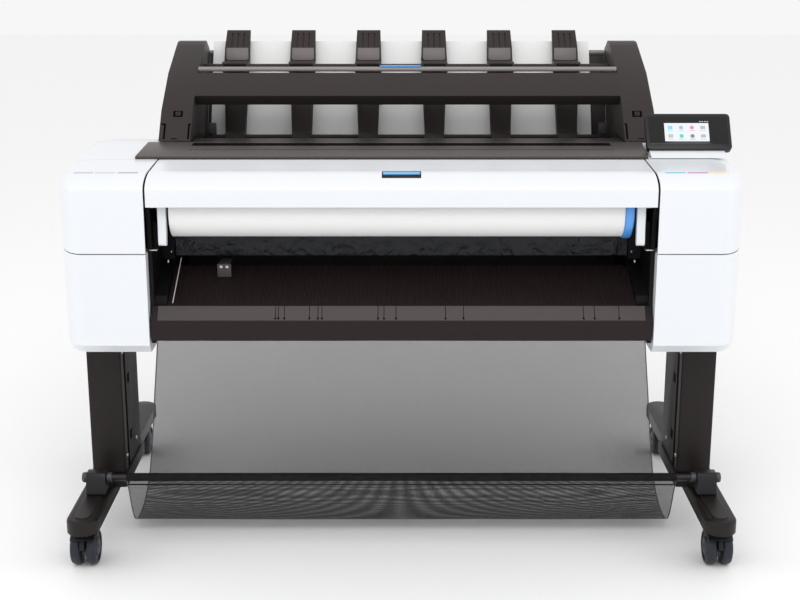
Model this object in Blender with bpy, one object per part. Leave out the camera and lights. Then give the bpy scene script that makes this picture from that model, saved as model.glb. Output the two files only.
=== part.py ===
"""Large format plotter: roll-fed 36 inch printer on a castored stand, with a top stacker.

Metres, +Z up.  Inside the script y is the depth behind the front faces of the two side
housings, and the empty "machine_origin" moves everything so that the world origin lies on
the floor, under the middle of the whole machine.
"""
import bmesh
import bpy
from math import cos, pi, radians, sin, sqrt
from mathutils import Matrix, Vector

for old in list(bpy.data.objects):
    bpy.data.objects.remove(old, do_unlink=True)

# ---------------------------------------------------------------- driving dimensions
WIDTH = 1.399               # over both side housings
HALF = WIDTH / 2
CENTRE_DEPTH = 0.311        # from the housings' front faces back to the world origin
GAP = 0.0004                # clearance between touching pieces
WALL = 0.003                # moulded shells
SHEET_STEEL = 0.003         # the legs

BAY = 0.5085                # half width of the bay between the housings
BODY_BOTTOM = 0.431
DOOR_SPLIT = 0.640          # seam between the ink covers and the lower housings
NOSE_BASE = 0.767           # the front faces turn into the nose here
NOSE_DEPTH = 0.075
NOSE_RISE = 0.030
COVER_BACK = 0.181          # rear edge of the front cover
COVER_BACK_Z = 0.8015
DOOR_BACK = 0.181           # rear edge of the ink covers
BODY_BACK = 0.500

RAMP_HALF = 0.476
ROLL_WIDTH = 0.914          # a 36 inch roll
ROLL_RADIUS = 0.060
ROLL_CENTRE = (-0.009, 0.085, 0.720)

FOOT_FRONT, FOOT_BACK = -0.130, 0.620
FOOT_X = 0.645
FOOT_UNDER, FOOT_TOP = 0.088, 0.118
PAD_UNDER = 0.084           # bearing pads in the middle of the feet
LEG_INNER, LEG_OUTER = 0.593, 0.665
LEG_FRONT, LEG_BACK = 0.100, 0.280
WHEEL_RADIUS = 0.0370
CASTER_TRAIL = 0.018
CASTER_X = 0.651
CASTER_Y = (-0.078, 0.545)

FABRIC_HALF = 0.578
FRONT_BAR = (0.030, 0.152)
REAR_BAR = (0.492, 0.414)
BAR_RADIUS = 0.008

STACK_MID = 0.014           # the stacker frame sits a little to the right
STACK_WINDOW = 0.481
STACK_HALF = 0.5517
STACK_LOW = STACK_MID - STACK_WINDOW + GAP      # what spans the window, end to end
STACK_HIGH = STACK_MID + STACK_WINDOW - GAP
ARM_PITCH = 0.158
ARM_WIDTH = 0.060


# ---------------------------------------------------------------- materials
def material(name, rgb, roughness, metallic=0.0):
    made = bpy.data.materials.new(name)
    made.use_nodes = True
    shader = made.node_tree.nodes["Principled BSDF"]
    shader.inputs["Base Color"].default_value = (*rgb, 1.0)
    shader.inputs["Roughness"].default_value = roughness
    shader.inputs["Metallic"].default_value = metallic
    return made


WHITE = material("white_housing", (0.86, 0.88, 0.92), 0.35)
BROWN = material("dark_brown_plastic", (0.055, 0.047, 0.045), 0.5)
BLACK = material("black_plastic", (0.012, 0.012, 0.013), 0.45)
LEG_PAINT = material("leg_paint", (0.022, 0.017, 0.016), 0.42)
STEEL = material("zinc_steel", (0.55, 0.55, 0.54), 0.35, 1.0)
GREY = material("grey_plastic", (0.30, 0.29, 0.28), 0.5)
BLUE = material("blue_plastic", (0.06, 0.30, 0.72), 0.4)
PAPER = material("paper", (0.92, 0.92, 0.91), 0.8)
MESH = material("basket_mesh", (0.20, 0.20, 0.20), 0.9)
RUBBER = material("rubber", (0.02, 0.021, 0.025), 0.75)
GLASS = material("panel_glass", (0.01, 0.01, 0.012), 0.12)


# ---------------------------------------------------------------- modelling helpers
origin = bpy.data.objects.new("machine_origin", None)
origin.location = (0.0, -CENTRE_DEPTH, 0.0)
bpy.context.scene.collection.objects.link(origin)


def place(name, bm, finish, pivot=(0.0, 0.0, 0.0), smooth=None):
    """Make a named object of a bmesh, with its origin at the pivot."""
    bmesh.ops.translate(bm, verts=bm.verts, vec=-Vector(pivot))
    mesh = bpy.data.meshes.new(name)
    bm.to_mesh(mesh)
    bm.free()
    mesh.materials.append(finish)
    if smooth is not None:
        mesh.shade_smooth()
        mesh.set_sharp_from_angle(angle=radians(smooth))
    piece = bpy.data.objects.new(name, mesh)
    bpy.context.scene.collection.objects.link(piece)
    piece.parent = origin
    piece.location = pivot
    return piece


def boolean(piece, bm, operation):
    """Cut a bmesh from a piece, or join it on, with a hidden tool object."""
    mesh = bpy.data.meshes.new(piece.name + "_tool")
    bm.to_mesh(mesh)
    bm.free()
    tool = bpy.data.objects.new(piece.name + "_tool", mesh)
    bpy.context.scene.collection.objects.link(tool)
    tool.parent = origin
    tool.hide_render = True
    tool.display_type = "WIRE"
    step = piece.modifiers.new("boolean", "BOOLEAN")
    step.operation = operation
    step.object = tool
    step.solver = "EXACT"


def cut(piece, bm):
    boolean(piece, bm, "DIFFERENCE")


def join(piece, bm):
    boolean(piece, bm, "UNION")


def extruded(outline, start, end, axis="X"):
    """Extrude a flat outline: (y, z) points along X, or (x, y) points along Z."""
    corner = {"X": lambda a, b: (start, a, b), "Z": lambda a, b: (a, b, start)}[axis]
    bm = bmesh.new()
    face = bm.faces.new([bm.verts.new(corner(a, b)) for a, b in outline])
    grown = bmesh.ops.extrude_face_region(bm, geom=[face])["geom"]
    travel = {"X": Vector((end - start, 0, 0)), "Z": Vector((0, 0, end - start))}[axis]
    moved = [v for v in grown if isinstance(v, bmesh.types.BMVert)]
    bmesh.ops.translate(bm, verts=moved, vec=travel)
    bmesh.ops.recalc_face_normals(bm, faces=bm.faces)
    return bm


def block(x0, x1, y0, y1, z0, z1):
    return extruded([(x0, y0), (x1, y0), (x1, y1), (x0, y1)], z0, z1, "Z")


def rounded(bm, width, segments, chosen=lambda edge: True):
    """Round the edges that the test picks."""
    edges = [edge for edge in bm.edges if chosen(edge)]
    bmesh.ops.bevel(bm, geom=edges, offset=width, offset_type="OFFSET", segments=segments,
                    profile=0.5, affect="EDGES", clamp_overlap=True, material=-1)
    return bm


def direction(edge):
    return (edge.verts[1].co - edge.verts[0].co).normalized()


def along(axis):
    """A test for edges parallel to X, Y or Z."""
    index = "XYZ".index(axis)
    return lambda edge: abs(direction(edge)[index]) > 0.99


def cylinder(centre, axis, radius, length, segments=24):
    bm = bmesh.new()
    bmesh.ops.create_cone(bm, cap_ends=True, segments=segments, radius1=radius,
                          radius2=radius, depth=length)
    turn = {"X": Matrix.Rotation(pi / 2, 4, "Y"), "Z": Matrix.Identity(4)}[axis]
    bmesh.ops.transform(bm, matrix=Matrix.Translation(centre) @ turn, verts=bm.verts)
    return bm


def turned(profile, centre, steps=32, closed=False):
    """Spin an (x, radius) profile about the X line at a centre: a ring if it is closed."""
    bm = bmesh.new()
    points = [bm.verts.new((x, 0.0, r)) for x, r in profile]
    edges = [bm.edges.new(pair) for pair in zip(points, points[1:] + points[:closed])]
    bmesh.ops.spin(bm, geom=points + edges, cent=(0, 0, 0), axis=(1, 0, 0), angle=2 * pi,
                   steps=steps, use_merge=True)
    bmesh.ops.remove_doubles(bm, verts=bm.verts, dist=1e-6)
    bmesh.ops.recalc_face_normals(bm, faces=bm.faces)
    bmesh.ops.translate(bm, verts=bm.verts, vec=Vector(centre))
    return bm


def flipped(bm):
    """The same piece for the left side."""
    bmesh.ops.scale(bm, verts=bm.verts, vec=(-1, 1, 1))
    bmesh.ops.reverse_faces(bm, faces=bm.faces)
    return bm


def sided(side, bm):
    return flipped(bm) if side == "left" else bm


def arc(centre, radius, start, end, steps):
    """Points on an arc, angles in degrees from the first axis towards the second."""
    turns = [radians(start + (end - start) * i / steps) for i in range(steps + 1)]
    return [(centre[0] + radius * cos(t), centre[1] + radius * sin(t)) for t in turns]


def walled(line, wall):
    """Close an open line into a band by going back along its right-hand offset."""
    points = [Vector(p) for p in line]
    inner = []
    for i, point in enumerate(points):
        before = (point - points[i - 1]).normalized() if i else None
        after = (points[i + 1] - point).normalized() if i + 1 < len(points) else None
        run = ((before or after) + (after or before)).normalized()
        lean = run.dot(after or before)
        inner.append(point + Vector((run.y, -run.x)) * wall / lean)
    return [tuple(p) for p in points + inner[::-1]]


def nose_line(inset=0.0, steps=8):
    """The quarter ellipse that carries the front faces over into the tops."""
    turns = [pi / 2 * i / steps for i in range(steps + 1)]
    return [(NOSE_DEPTH - (NOSE_DEPTH - inset) * cos(t),
             NOSE_BASE + (NOSE_RISE - inset) * sin(t)) for t in turns]


# ---------------------------------------------------------------- stand
def foot(side):
    """A long floor beam with round ends, a raised oval in front and a bearing pad below."""
    half = 0.0325
    plan = [(x + FOOT_X, y) for x, y in arc((0, FOOT_FRONT + half), half, 180, 360, 8)]
    plan += [(x + FOOT_X, y) for x, y in arc((0, FOOT_BACK - half), half, 0, 180, 8)]
    bm = extruded(plan, FOOT_UNDER, FOOT_TOP, "Z")
    rounded(bm, 0.005, 2, lambda e: e.verts[0].co.z > 0.1 and e.verts[1].co.z > 0.1)
    piece = place(f"{side}_foot", sided(side, bm), LEG_PAINT)
    raised = [(x + FOOT_X, y) for x, y in arc((0, -0.095), 0.017, 180, 360, 6)]
    raised += [(x + FOOT_X, y) for x, y in arc((0, 0.045), 0.017, 0, 180, 6)]
    join(piece, sided(side, extruded(raised, FOOT_TOP - 0.004, FOOT_TOP + 0.003, "Z")))
    collar = block(LEG_INNER - 0.004, LEG_OUTER + 0.006, LEG_FRONT - 0.014, LEG_BACK + 0.02,
                   FOOT_TOP - 0.012, 0.134)
    join(piece, sided(side, rounded(collar, 0.006, 2, along("Z"))))
    pad = block(FOOT_X - 0.026, FOOT_X + 0.026, 0.130, 0.250, PAD_UNDER, FOOT_UNDER + 0.002)
    join(piece, sided(side, rounded(pad, 0.008, 2, along("Z"))))


def leg(side):
    """An upright box section with a groove down its inner face."""
    bm = block(LEG_INNER, LEG_OUTER, LEG_FRONT, LEG_BACK, 0.134 + GAP, BODY_BOTTOM - GAP)
    piece = place(f"{side}_leg", sided(side, rounded(bm, 0.004, 2, along("Z"))), LEG_PAINT)
    hollow = block(LEG_INNER + 0.009, LEG_OUTER - SHEET_STEEL, LEG_FRONT + SHEET_STEEL,
                   LEG_BACK - SHEET_STEEL, 0.10, 0.50)
    cut(piece, sided(side, hollow))
    groove = block(LEG_INNER - 0.01, LEG_INNER + 0.006, LEG_FRONT + 0.028,
                   LEG_FRONT + 0.048, 0.12, 0.45)
    cut(piece, sided(side, groove))
    for z in (0.185, 0.315):
        notch = block(LEG_INNER - 0.01, LEG_INNER + 0.008, LEG_FRONT + 0.060,
                      LEG_FRONT + 0.082, z, z + 0.022)
        cut(piece, sided(side, notch))


def caster(side, end, y):
    """A twin wheel under a mudguard that swivels about the stem."""
    sign = 1 if side == "right" else -1
    x = sign * CASTER_X
    axle = (y + CASTER_TRAIL, WHEEL_RADIUS)
    web = extruded(arc(axle, 0.0405, 0, 180, 16), x - 0.0048, x + 0.0048)
    guard = place(f"{end}_{side}_caster_fork", web, BLACK, pivot=(x, y, 0.0), smooth=35)
    hood = extruded(arc(axle, 0.0425, 8, 172, 18) + arc(axle, 0.0393, 172, 8, 18),
                    x - 0.0285, x + 0.0285)
    join(guard, hood)
    join(guard, cylinder((x, y, 0.0821), "Z", 0.014, 0.0112, 20))
    cut(guard, cylinder((x, *axle), "X", 0.0125, 0.1, 20))
    half, hub = 0.0265, 0.0119
    profile = [(-half, 0.0), (-half, 0.018), (-half + 0.003, 0.019), (-half + 0.003, 0.029),
               (-half, 0.031), (-half, 0.0345), (-half + 0.003, WHEEL_RADIUS),
               (-0.0085, WHEEL_RADIUS), (-0.0055, 0.0345), (-0.0055, hub)]
    profile += [(-px, r) for px, r in profile[::-1]]
    place(f"{end}_{side}_caster_wheels", turned(profile, (x, *axle), 28), RUBBER,
          pivot=(x, *axle), smooth=35)


def cross_beam():
    """The folded steel channel that ties the two legs together under the body."""
    reach = LEG_INNER - GAP
    section = [(0.125, 0.392), (0.270, 0.392), (0.270, BODY_BOTTOM - GAP),
               (0.255, BODY_BOTTOM - GAP), (0.255, 0.396), (0.140, 0.396),
               (0.140, BODY_BOTTOM - GAP), (0.125, BODY_BOTTOM - GAP)]
    place("cross_beam", extruded(section, -reach, reach), LEG_PAINT)


for side in ("left", "right"):
    foot(side)
    leg(side)
    for end, y in zip(("front", "rear"), CASTER_Y):
        caster(side, end, y)
cross_beam()


# ---------------------------------------------------------------- output basket
def bar_bracket(side):
    """The block on the foot that holds the end of the basket's front bar."""
    outline = [(0.004, FOOT_TOP + 0.0034), (0.058, FOOT_TOP + 0.0034), (0.050, 0.152),
               (0.042, 0.166), (0.018, 0.166), (0.010, 0.152)]
    bm = rounded(extruded(outline, 0.620, 0.660), 0.002, 1, along("X"))
    piece = place(f"{side}_bar_bracket", sided(side, bm), BLACK)
    cut(piece, sided(side, cylinder((0.62, *FRONT_BAR), "X", BAR_RADIUS + GAP, 0.064, 20)))


def basket_curve():
    """The hanging fabric from the front bar down, along the floor side and up to the rear."""
    return [(0.0345, 0.1415), (0.041, 0.118), (0.054, 0.088), (0.073, 0.052), (0.094, 0.030),
            (0.122, 0.0185), (0.160, 0.0155), (0.196, 0.0190), (0.228, 0.0280),
            (0.258, 0.0430), (0.290, 0.0660), (0.330, 0.1180), (0.388, 0.2140),
            (0.440, 0.2950), (0.472, 0.3560), (0.487, 0.4030)]


for side in ("left", "right"):
    bar_bracket(side)
place("basket_front_bar", cylinder((0, *FRONT_BAR), "X", BAR_RADIUS, 2 * 0.650, 20), BLACK,
      smooth=35)
place("basket_rear_bar", cylinder((0, *REAR_BAR), "X", BAR_RADIUS, 2 * 0.575, 20), BLACK,
      smooth=35)
place("basket_fabric", extruded(walled(basket_curve(), -0.002), -FABRIC_HALF, FABRIC_HALF),
      MESH)


# ---------------------------------------------------------------- side housings and ink covers
CORNER_X, CORNER_Y, CORNER_Z = 0.060, 0.150, 0.024      # how far the outer corner is rounded
SIDE_BACK = 0.455


def shaped_side(outline, inner, outer):
    """Extrude a housing outline outwards, then round its outer front and top corners."""
    bm = extruded(outline, inner, outer)
    for turn in (0, 24, 42, 57, 69, 80):
        x = outer - CORNER_X + CORNER_X * sin(radians(turn))
        everything = bm.verts[:] + bm.edges[:] + bm.faces[:]
        bmesh.ops.bisect_plane(bm, geom=everything, plane_co=(x, 0, 0), plane_no=(1, 0, 0))
    for v in bm.verts:
        reach = min(1.0, max(0.0, (v.co.x - outer + CORNER_X) / CORNER_X))
        fall = 1 - sqrt(1 - reach * reach)
        v.co.y += CORNER_Y * fall * max(0.0, 1 - v.co.y / DOOR_BACK)
        v.co.z -= CORNER_Z * fall * min(1.0, max(0.0, v.co.z - 0.70) / 0.06)
    return bm


def top_line(start, end, steps=3):
    """The gently rising housing top between two depths."""
    rise = (COVER_BACK_Z - NOSE_BASE - NOSE_RISE) / (COVER_BACK - NOSE_DEPTH)
    depths = [start + (end - start) * i / steps for i in range(steps + 1)]
    return [(y, NOSE_BASE + NOSE_RISE + rise * (y - NOSE_DEPTH)) for y in depths]


def side_housing(side):
    """The fixed lower box and the fixed top behind the ink cover."""
    inner = BAY + 0.0022
    low = [(0.020, BODY_BOTTOM), (0.0, 0.450), (0.0, DOOR_SPLIT - 0.001),
           (SIDE_BACK, DOOR_SPLIT - 0.001), (SIDE_BACK, 0.445), (0.435, BODY_BOTTOM)]
    place(f"{side}_lower_housing", sided(side, shaped_side(low, inner, HALF)), WHITE, smooth=30)
    start = DOOR_BACK + 0.0015
    high = [(start, DOOR_SPLIT)] + top_line(start, 0.40)
    high += [(0.425, 0.8085), (0.445, 0.795), (SIDE_BACK, 0.772), (SIDE_BACK, DOOR_SPLIT)]
    place(f"{side}_upper_housing", sided(side, shaped_side(high, inner, HALF)), WHITE,
          smooth=30)


def ink_cover(side):
    """The nose-shaped lid over the cartridges, hinged along its rear top edge."""
    inner = BAY + 0.0022
    floor_z = DOOR_SPLIT + 0.0008
    outline = [(0.0, floor_z)] + nose_line()[:-1] + top_line(NOSE_DEPTH, DOOR_BACK)
    outline += [(DOOR_BACK, floor_z)]
    hollow = [(WALL, floor_z - 0.02)] + nose_line(WALL)[:-1]
    hollow += [(y, z - WALL) for y, z in top_line(NOSE_DEPTH, DOOR_BACK + 0.02)]
    hollow += [(DOOR_BACK + 0.02, floor_z - 0.02)]
    sign = 1 if side == "right" else -1
    hinge = (sign * 0.605, DOOR_BACK - 0.003, 0.7985)
    piece = place(f"{side}_ink_cover", sided(side, shaped_side(outline, inner, HALF)), WHITE,
                  pivot=hinge, smooth=30)
    cut(piece, sided(side, shaped_side(hollow, inner - 0.02, HALF - WALL)))


CARTRIDGE_WIDTH, CARTRIDGE_PITCH = 0.046, 0.050
CARTRIDGE_MIDDLE = 0.595


def ink_bay(side):
    """The tray with dividers and an open front that holds three cartridges in a row."""
    floor_z = DOOR_SPLIT + 0.0004
    left, right = CARTRIDGE_MIDDLE - 0.0765, CARTRIDGE_MIDDLE + 0.0765
    tray = block(left, right, 0.045, DOOR_BACK - 0.012, floor_z, floor_z + 0.005)
    piece = place(f"{side}_ink_bay", sided(side, tray), BLACK)
    join(piece, sided(side, block(left, right, DOOR_BACK - 0.020, DOOR_BACK - 0.012,
                                  floor_z + 0.002, 0.785)))
    for i in range(4):
        x = CARTRIDGE_MIDDLE + (i - 1.5) * CARTRIDGE_PITCH
        fin = [(0.070, floor_z + 0.002), (DOOR_BACK - 0.018, floor_z + 0.002),
               (DOOR_BACK - 0.018, 0.760), (0.130, 0.760), (0.070, 0.690)]
        join(piece, sided(side, extruded(fin, x - 0.001, x + 0.001)))
    for i, colour in enumerate(("first", "second", "third")):
        x = CARTRIDGE_MIDDLE + (i - 1) * CARTRIDGE_PITCH
        shell = [(0.046, 0.648), (0.158, 0.648), (0.158, 0.752), (0.072, 0.752),
                 (0.046, 0.735)]
        bm = extruded(shell, x - CARTRIDGE_WIDTH / 2, x + CARTRIDGE_WIDTH / 2)
        bm = rounded(bm, 0.0025, 2)
        place(f"{side}_{colour}_cartridge", sided(side, bm), GREY, smooth=30)


for side in ("left", "right"):
    side_housing(side)
    ink_cover(side)
    ink_bay(side)


# ---------------------------------------------------------------- bay: frames, covers and output ramp
def side_frame(side):
    """The black plate that closes the bay at one end and carries the spindle lever."""
    bm = extruded([(0.0256, 0.448), (0.0256, 0.700), (0.016, 0.725), (0.016, 0.745),
                   (0.040, 0.772), (0.060, 0.779), (0.172, 0.785), (0.192, 0.790), (0.200, 0.796),
                   (0.440, 0.796), (0.440, 0.448)], BAY - 0.0065, BAY + 0.0018)
    piece = place(f"{side}_side_frame", sided(side, bm), BLACK)
    y, z = ROLL_CENTRE[1:]
    cut(piece, sided(side, cylinder((BAY, y, z), "X", 0.0125, 0.05, 24)))
    ledge = [(0.034, 0.470), (0.034, 0.546), (0.150, 0.596), (0.150, 0.700), (0.176, 0.700),
             (0.176, 0.470)]
    join(piece, sided(side, extruded(ledge, RAMP_HALF + 0.0010, BAY - 0.0060)))
    pad = rounded(block(0.4930, BAY - 0.0060, 0.052, 0.118, 0.640, 0.700), 0.004, 1,
                  along("X"))
    join(piece, sided(side, pad))
    cut(piece, sided(side, cylinder((BAY - 0.014, y, z), "X", 0.0125, 0.05, 24)))


def front_cover():
    """The full-width nose-shaped lid over the roll, with end ribs and a pocket for the grip."""
    reach = BAY - 0.0012
    line = [(0.0, 0.7352)] + nose_line(0.0, 10)[:-1] + top_line(NOSE_DEPTH, COVER_BACK)
    band = walled(line, WALL)
    hinge = (0.0, COVER_BACK - 0.004, COVER_BACK_Z - 0.006)
    piece = place("front_cover", extruded(band, -reach, reach), WHITE, pivot=hinge, smooth=30)
    rib_line = nose_line(0.0015)[2:-1]
    rib_line += [(y, z - 0.0015) for y, z in top_line(NOSE_DEPTH, COVER_BACK - 0.004)]
    rib = rib_line + [(COVER_BACK - 0.006, 0.7985 - 0.006), (0.060, 0.783)]
    for x in (-reach, reach - 0.0022):
        join(piece, extruded(rib, x, x + 0.0022))
    cut(piece, block(-0.0392, 0.0392, 0.026, 0.0725, 0.70, 0.85))


def cover_handle():
    """The pocket let into the cover, with its grip bar."""
    pocket = extruded([(0.0264, 0.7885), (0.0264, 0.7780), (0.0721, 0.7830), (0.0721, 0.7955)],
                      -0.0388, 0.0388)
    hinge = (0.0, COVER_BACK - 0.004, COVER_BACK_Z - 0.006)
    piece = place("cover_handle", pocket, BLUE, pivot=hinge)
    cut(piece, extruded([(0.0280, 0.80), (0.0280, 0.7798), (0.0705, 0.7847), (0.0705, 0.81)],
                        -0.0372, 0.0372))
    grip = extruded([(0.042, 0.7860), (0.060, 0.7880), (0.060, 0.7925), (0.042, 0.7905)],
                    -0.0380, 0.0380)
    join(piece, grip)


def top_panel():
    """The dark lid over the print zone, wider at the back, with the paper exit let into it."""
    bm = extruded([(COVER_BACK + 0.002, 0.8020), (COVER_BACK + 0.002, 0.8065),
                   (COVER_BACK + 0.006, 0.8080), (0.345, 0.8140), (0.345, 0.8089)],
                  -1.0, 1.0)
    for v in bm.verts:
        spread = 0.524 + 0.033 * (v.co.y - COVER_BACK) / 0.164
        v.co.x = spread * v.co.x if v.co.x < 0 else (spread - 0.032) * v.co.x
    piece = place("top_panel", bm, BROWN)
    cut(piece, block(-0.455, 0.455, 0.262, 0.337, 0.8075, 0.83))
    cut(piece, block(-0.455, 0.455, 0.300, 0.330, 0.79, 0.83))


def rear_cover():
    """The back shell from the top panel down to the base, with a bulged middle."""
    line = [(0.3475, 0.8080), (0.440, 0.8080), (0.478, 0.795), (BODY_BACK, 0.760),
            (BODY_BACK, 0.600), (0.490, 0.560), (0.478, 0.452)]
    reach = BAY - 0.0072
    piece = place("rear_cover", extruded(walled(line, WALL), -reach, reach), BROWN, smooth=30)
    for i in range(9):
        z = 0.610 + 0.014 * i
        cut(piece, block(0.25, 0.40, BODY_BACK - 0.02, BODY_BACK + 0.02, z, z + 0.006))


def base_pan():
    """The folded chassis tray under the bay."""
    line = [(0.110, 0.452), (0.110, BODY_BOTTOM), (0.474, BODY_BOTTOM), (0.474, 0.470)]
    reach = BAY - 0.0072
    band = walled(line, -0.002)
    place("base_pan", extruded(band, -reach, reach), STEEL)


def output_ramp():
    """The sloping platform with fine grooves that the cut sheets slide down."""
    reach = RAMP_HALF
    section = [(0.026, 0.5290), (0.150, 0.5830), (0.150, 0.5560), (0.026, 0.5020)]
    piece = place("output_ramp", extruded(section, -reach, reach), BROWN)
    groove = [(0.040, 0.5385), (0.140, 0.5820), (0.140, 0.60), (0.040, 0.60)]
    for i in range(45):
        x = (i - 22) * 0.0205
        cut(piece, extruded(groove, x - 0.0012, x + 0.0012))


def ramp_lip():
    """The bevelled front beam below the ramp."""
    reach = BAY - 0.0005
    section = [(0.004, 0.459), (0.004, 0.500), (0.0250, 0.5285), (0.0250, 0.459)]
    bm = rounded(extruded(section, -reach, reach), 0.0015, 2, along("X"))
    place("ramp_lip", bm, BROWN, smooth=30)


def roll_shield():
    """The glossy curved guide behind and under the roll."""
    y, z = ROLL_CENTRE[1:]
    line = [(0.163, 0.600)] + [(y + 0.078 * cos(t), z + 0.078 * sin(t))
                               for t in [radians(-25 + 60 * i / 8) for i in range(9)]]
    place("roll_shield", extruded(walled(line, 0.0025), -RAMP_HALF, RAMP_HALF), BLACK, smooth=30)


for side in ("left", "right"):
    side_frame(side)
front_cover()
cover_handle()
top_panel()
rear_cover()
base_pan()
output_ramp()
ramp_lip()
roll_shield()


# ---------------------------------------------------------------- roll, spindle and levers
def paper_roll():
    """A part-used 36 inch roll on its 2 inch core."""
    half, core = ROLL_WIDTH / 2, 0.0257
    ring = [(-half, core), (-half, ROLL_RADIUS), (half, ROLL_RADIUS), (half, core)]
    place("paper_roll", turned(ring, ROLL_CENTRE, 64, closed=True), PAPER, pivot=ROLL_CENTRE,
          smooth=30)


def spindle():
    """The rod through the roll, with its fixed stop at the left end."""
    start = ROLL_CENTRE[0] - ROLL_WIDTH / 2 - GAP
    shape = [(-0.5095, 0.0), (-0.5095, 0.0095), (-0.5070, 0.012), (start - 0.0205, 0.012),
             (start - 0.0205, 0.032), (start - 0.016, 0.038), (start, 0.0395), (start, 0.0253),
             (start + 0.045, 0.0248), (start + 0.060, 0.012), (0.5070, 0.012),
             (0.5095, 0.0095), (0.5095, 0.0)]
    centre = (0.0, *ROLL_CENTRE[1:])
    place("spindle", turned(shape, centre, 32), BLACK, pivot=centre, smooth=30)


def roll_stop():
    """The blue stop that slides along the spindle and grips the other end of the core."""
    start = ROLL_CENTRE[0] + ROLL_WIDTH / 2 + GAP
    shape = [(start - 0.055, 0.0123), (start - 0.040, 0.0248), (start, 0.0253),
             (start, 0.0625), (start + 0.002, 0.0640), (start + 0.0150, 0.0640),
             (start + 0.0175, 0.0610), (start + 0.0175, 0.0123)]
    centre = (0.0, *ROLL_CENTRE[1:])
    piece = place("roll_stop", turned(shape, centre, 48, closed=True), BLUE, pivot=centre,
                  smooth=30)
    for i in range(6):
        angle = radians(60 * i + 30)
        y = centre[1] + 0.043 * cos(angle)
        z = centre[2] + 0.043 * sin(angle)
        cut(piece, cylinder((start + 0.012, y, z), "X", 0.0095, 0.02, 16))


LEVER_PIVOT = (0.030, 0.733)


def spindle_lever(side):
    """The tapered white lever that locks a spindle end down, on its own pin."""
    y, z = LEVER_PIVOT
    shape = arc(LEVER_PIVOT, 0.0105, 20, 160, 8)
    shape += [(y - 0.0105, z - 0.045), (y - 0.0125, z - 0.070)]
    shape += arc((y - 0.0055, z - 0.074), 0.0065, 190, 350, 5)
    shape += [(y + 0.0040, z - 0.040)]
    x0, x1 = 0.4705, 0.4875
    bm = rounded(extruded(shape, x0, x1), 0.0008, 1)
    hinge = (0.48 if side == "right" else -0.48, y, z)
    piece = place(f"{side}_spindle_lever", sided(side, bm), WHITE, pivot=hinge, smooth=30)
    pin = cylinder((0.4930, y, z), "X", 0.0045, 0.017, 16)
    join(piece, sided(side, pin))


# ---------------------------------------------------------------- print engine
ENGINE_REACH = BAY - 0.0075


def platen():
    """The plate the paper crosses under the print heads, with shallow suction pockets."""
    plate = extruded([(0.222, 0.7250), (0.222, 0.7320), (0.226, 0.7335), (0.335, 0.7335),
                      (0.335, 0.7250)], -ENGINE_REACH, ENGINE_REACH)
    piece = place("platen", plate, BLACK)
    for i in range(12):
        x = (i - 5.5) * 0.078
        cut(piece, block(x - 0.030, x + 0.030, 0.250, 0.300, 0.7315, 0.74))


def carriage_rail():
    """The folded rail that the carriage hangs on."""
    rail = [(0.362, 0.742), (0.400, 0.742), (0.400, 0.746), (0.368, 0.746), (0.368, 0.776),
            (0.382, 0.776), (0.382, 0.781), (0.362, 0.781)]
    place("carriage_rail", extruded(rail, -ENGINE_REACH, ENGINE_REACH), STEEL)


def carriage():
    """The print head carriage, parked at the right."""
    body = [(0.236, 0.744), (0.236, 0.778), (0.252, 0.794), (0.390, 0.794), (0.390, 0.783),
            (0.3605, 0.783), (0.3605, 0.752), (0.345, 0.744)]
    middle = (0.400, 0.30, 0.765)
    bm = rounded(extruded(body, 0.330, 0.470), 0.002, 1, along("X"))
    place("carriage", bm, BLACK, pivot=middle)


def feed_roller():
    """The rubbered roller that feeds the paper, with a gear at its right end."""
    centre = (0.0, 0.207, 0.7235)
    reach = ENGINE_REACH
    shaft = [(-reach + 0.002, 0.0), (-reach + 0.002, 0.006), (-0.480, 0.006),
             (-0.480, 0.0105), (0.480, 0.0105), (0.480, 0.006), (0.484, 0.006),
             (0.484, 0.0125), (0.494, 0.0125), (0.494, 0.006), (reach - 0.002, 0.006),
             (reach - 0.002, 0.0)]
    place("feed_roller", turned(shaft, centre, 24), RUBBER, pivot=centre, smooth=30)


paper_roll()
spindle()
roll_stop()
for side in ("left", "right"):
    spindle_lever(side)
platen()
carriage_rail()
carriage()
feed_roller()


# ---------------------------------------------------------------- stacker
SHEET_FOOT = (0.6200, 0.760)
SHEET_LEAN = 0.5087          # depth gained per metre of height


def sheet_y(z, off=0.0):
    """How deep the standing sheets are at a height."""
    return SHEET_FOOT[0] + (z - SHEET_FOOT[1]) * SHEET_LEAN + off


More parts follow.
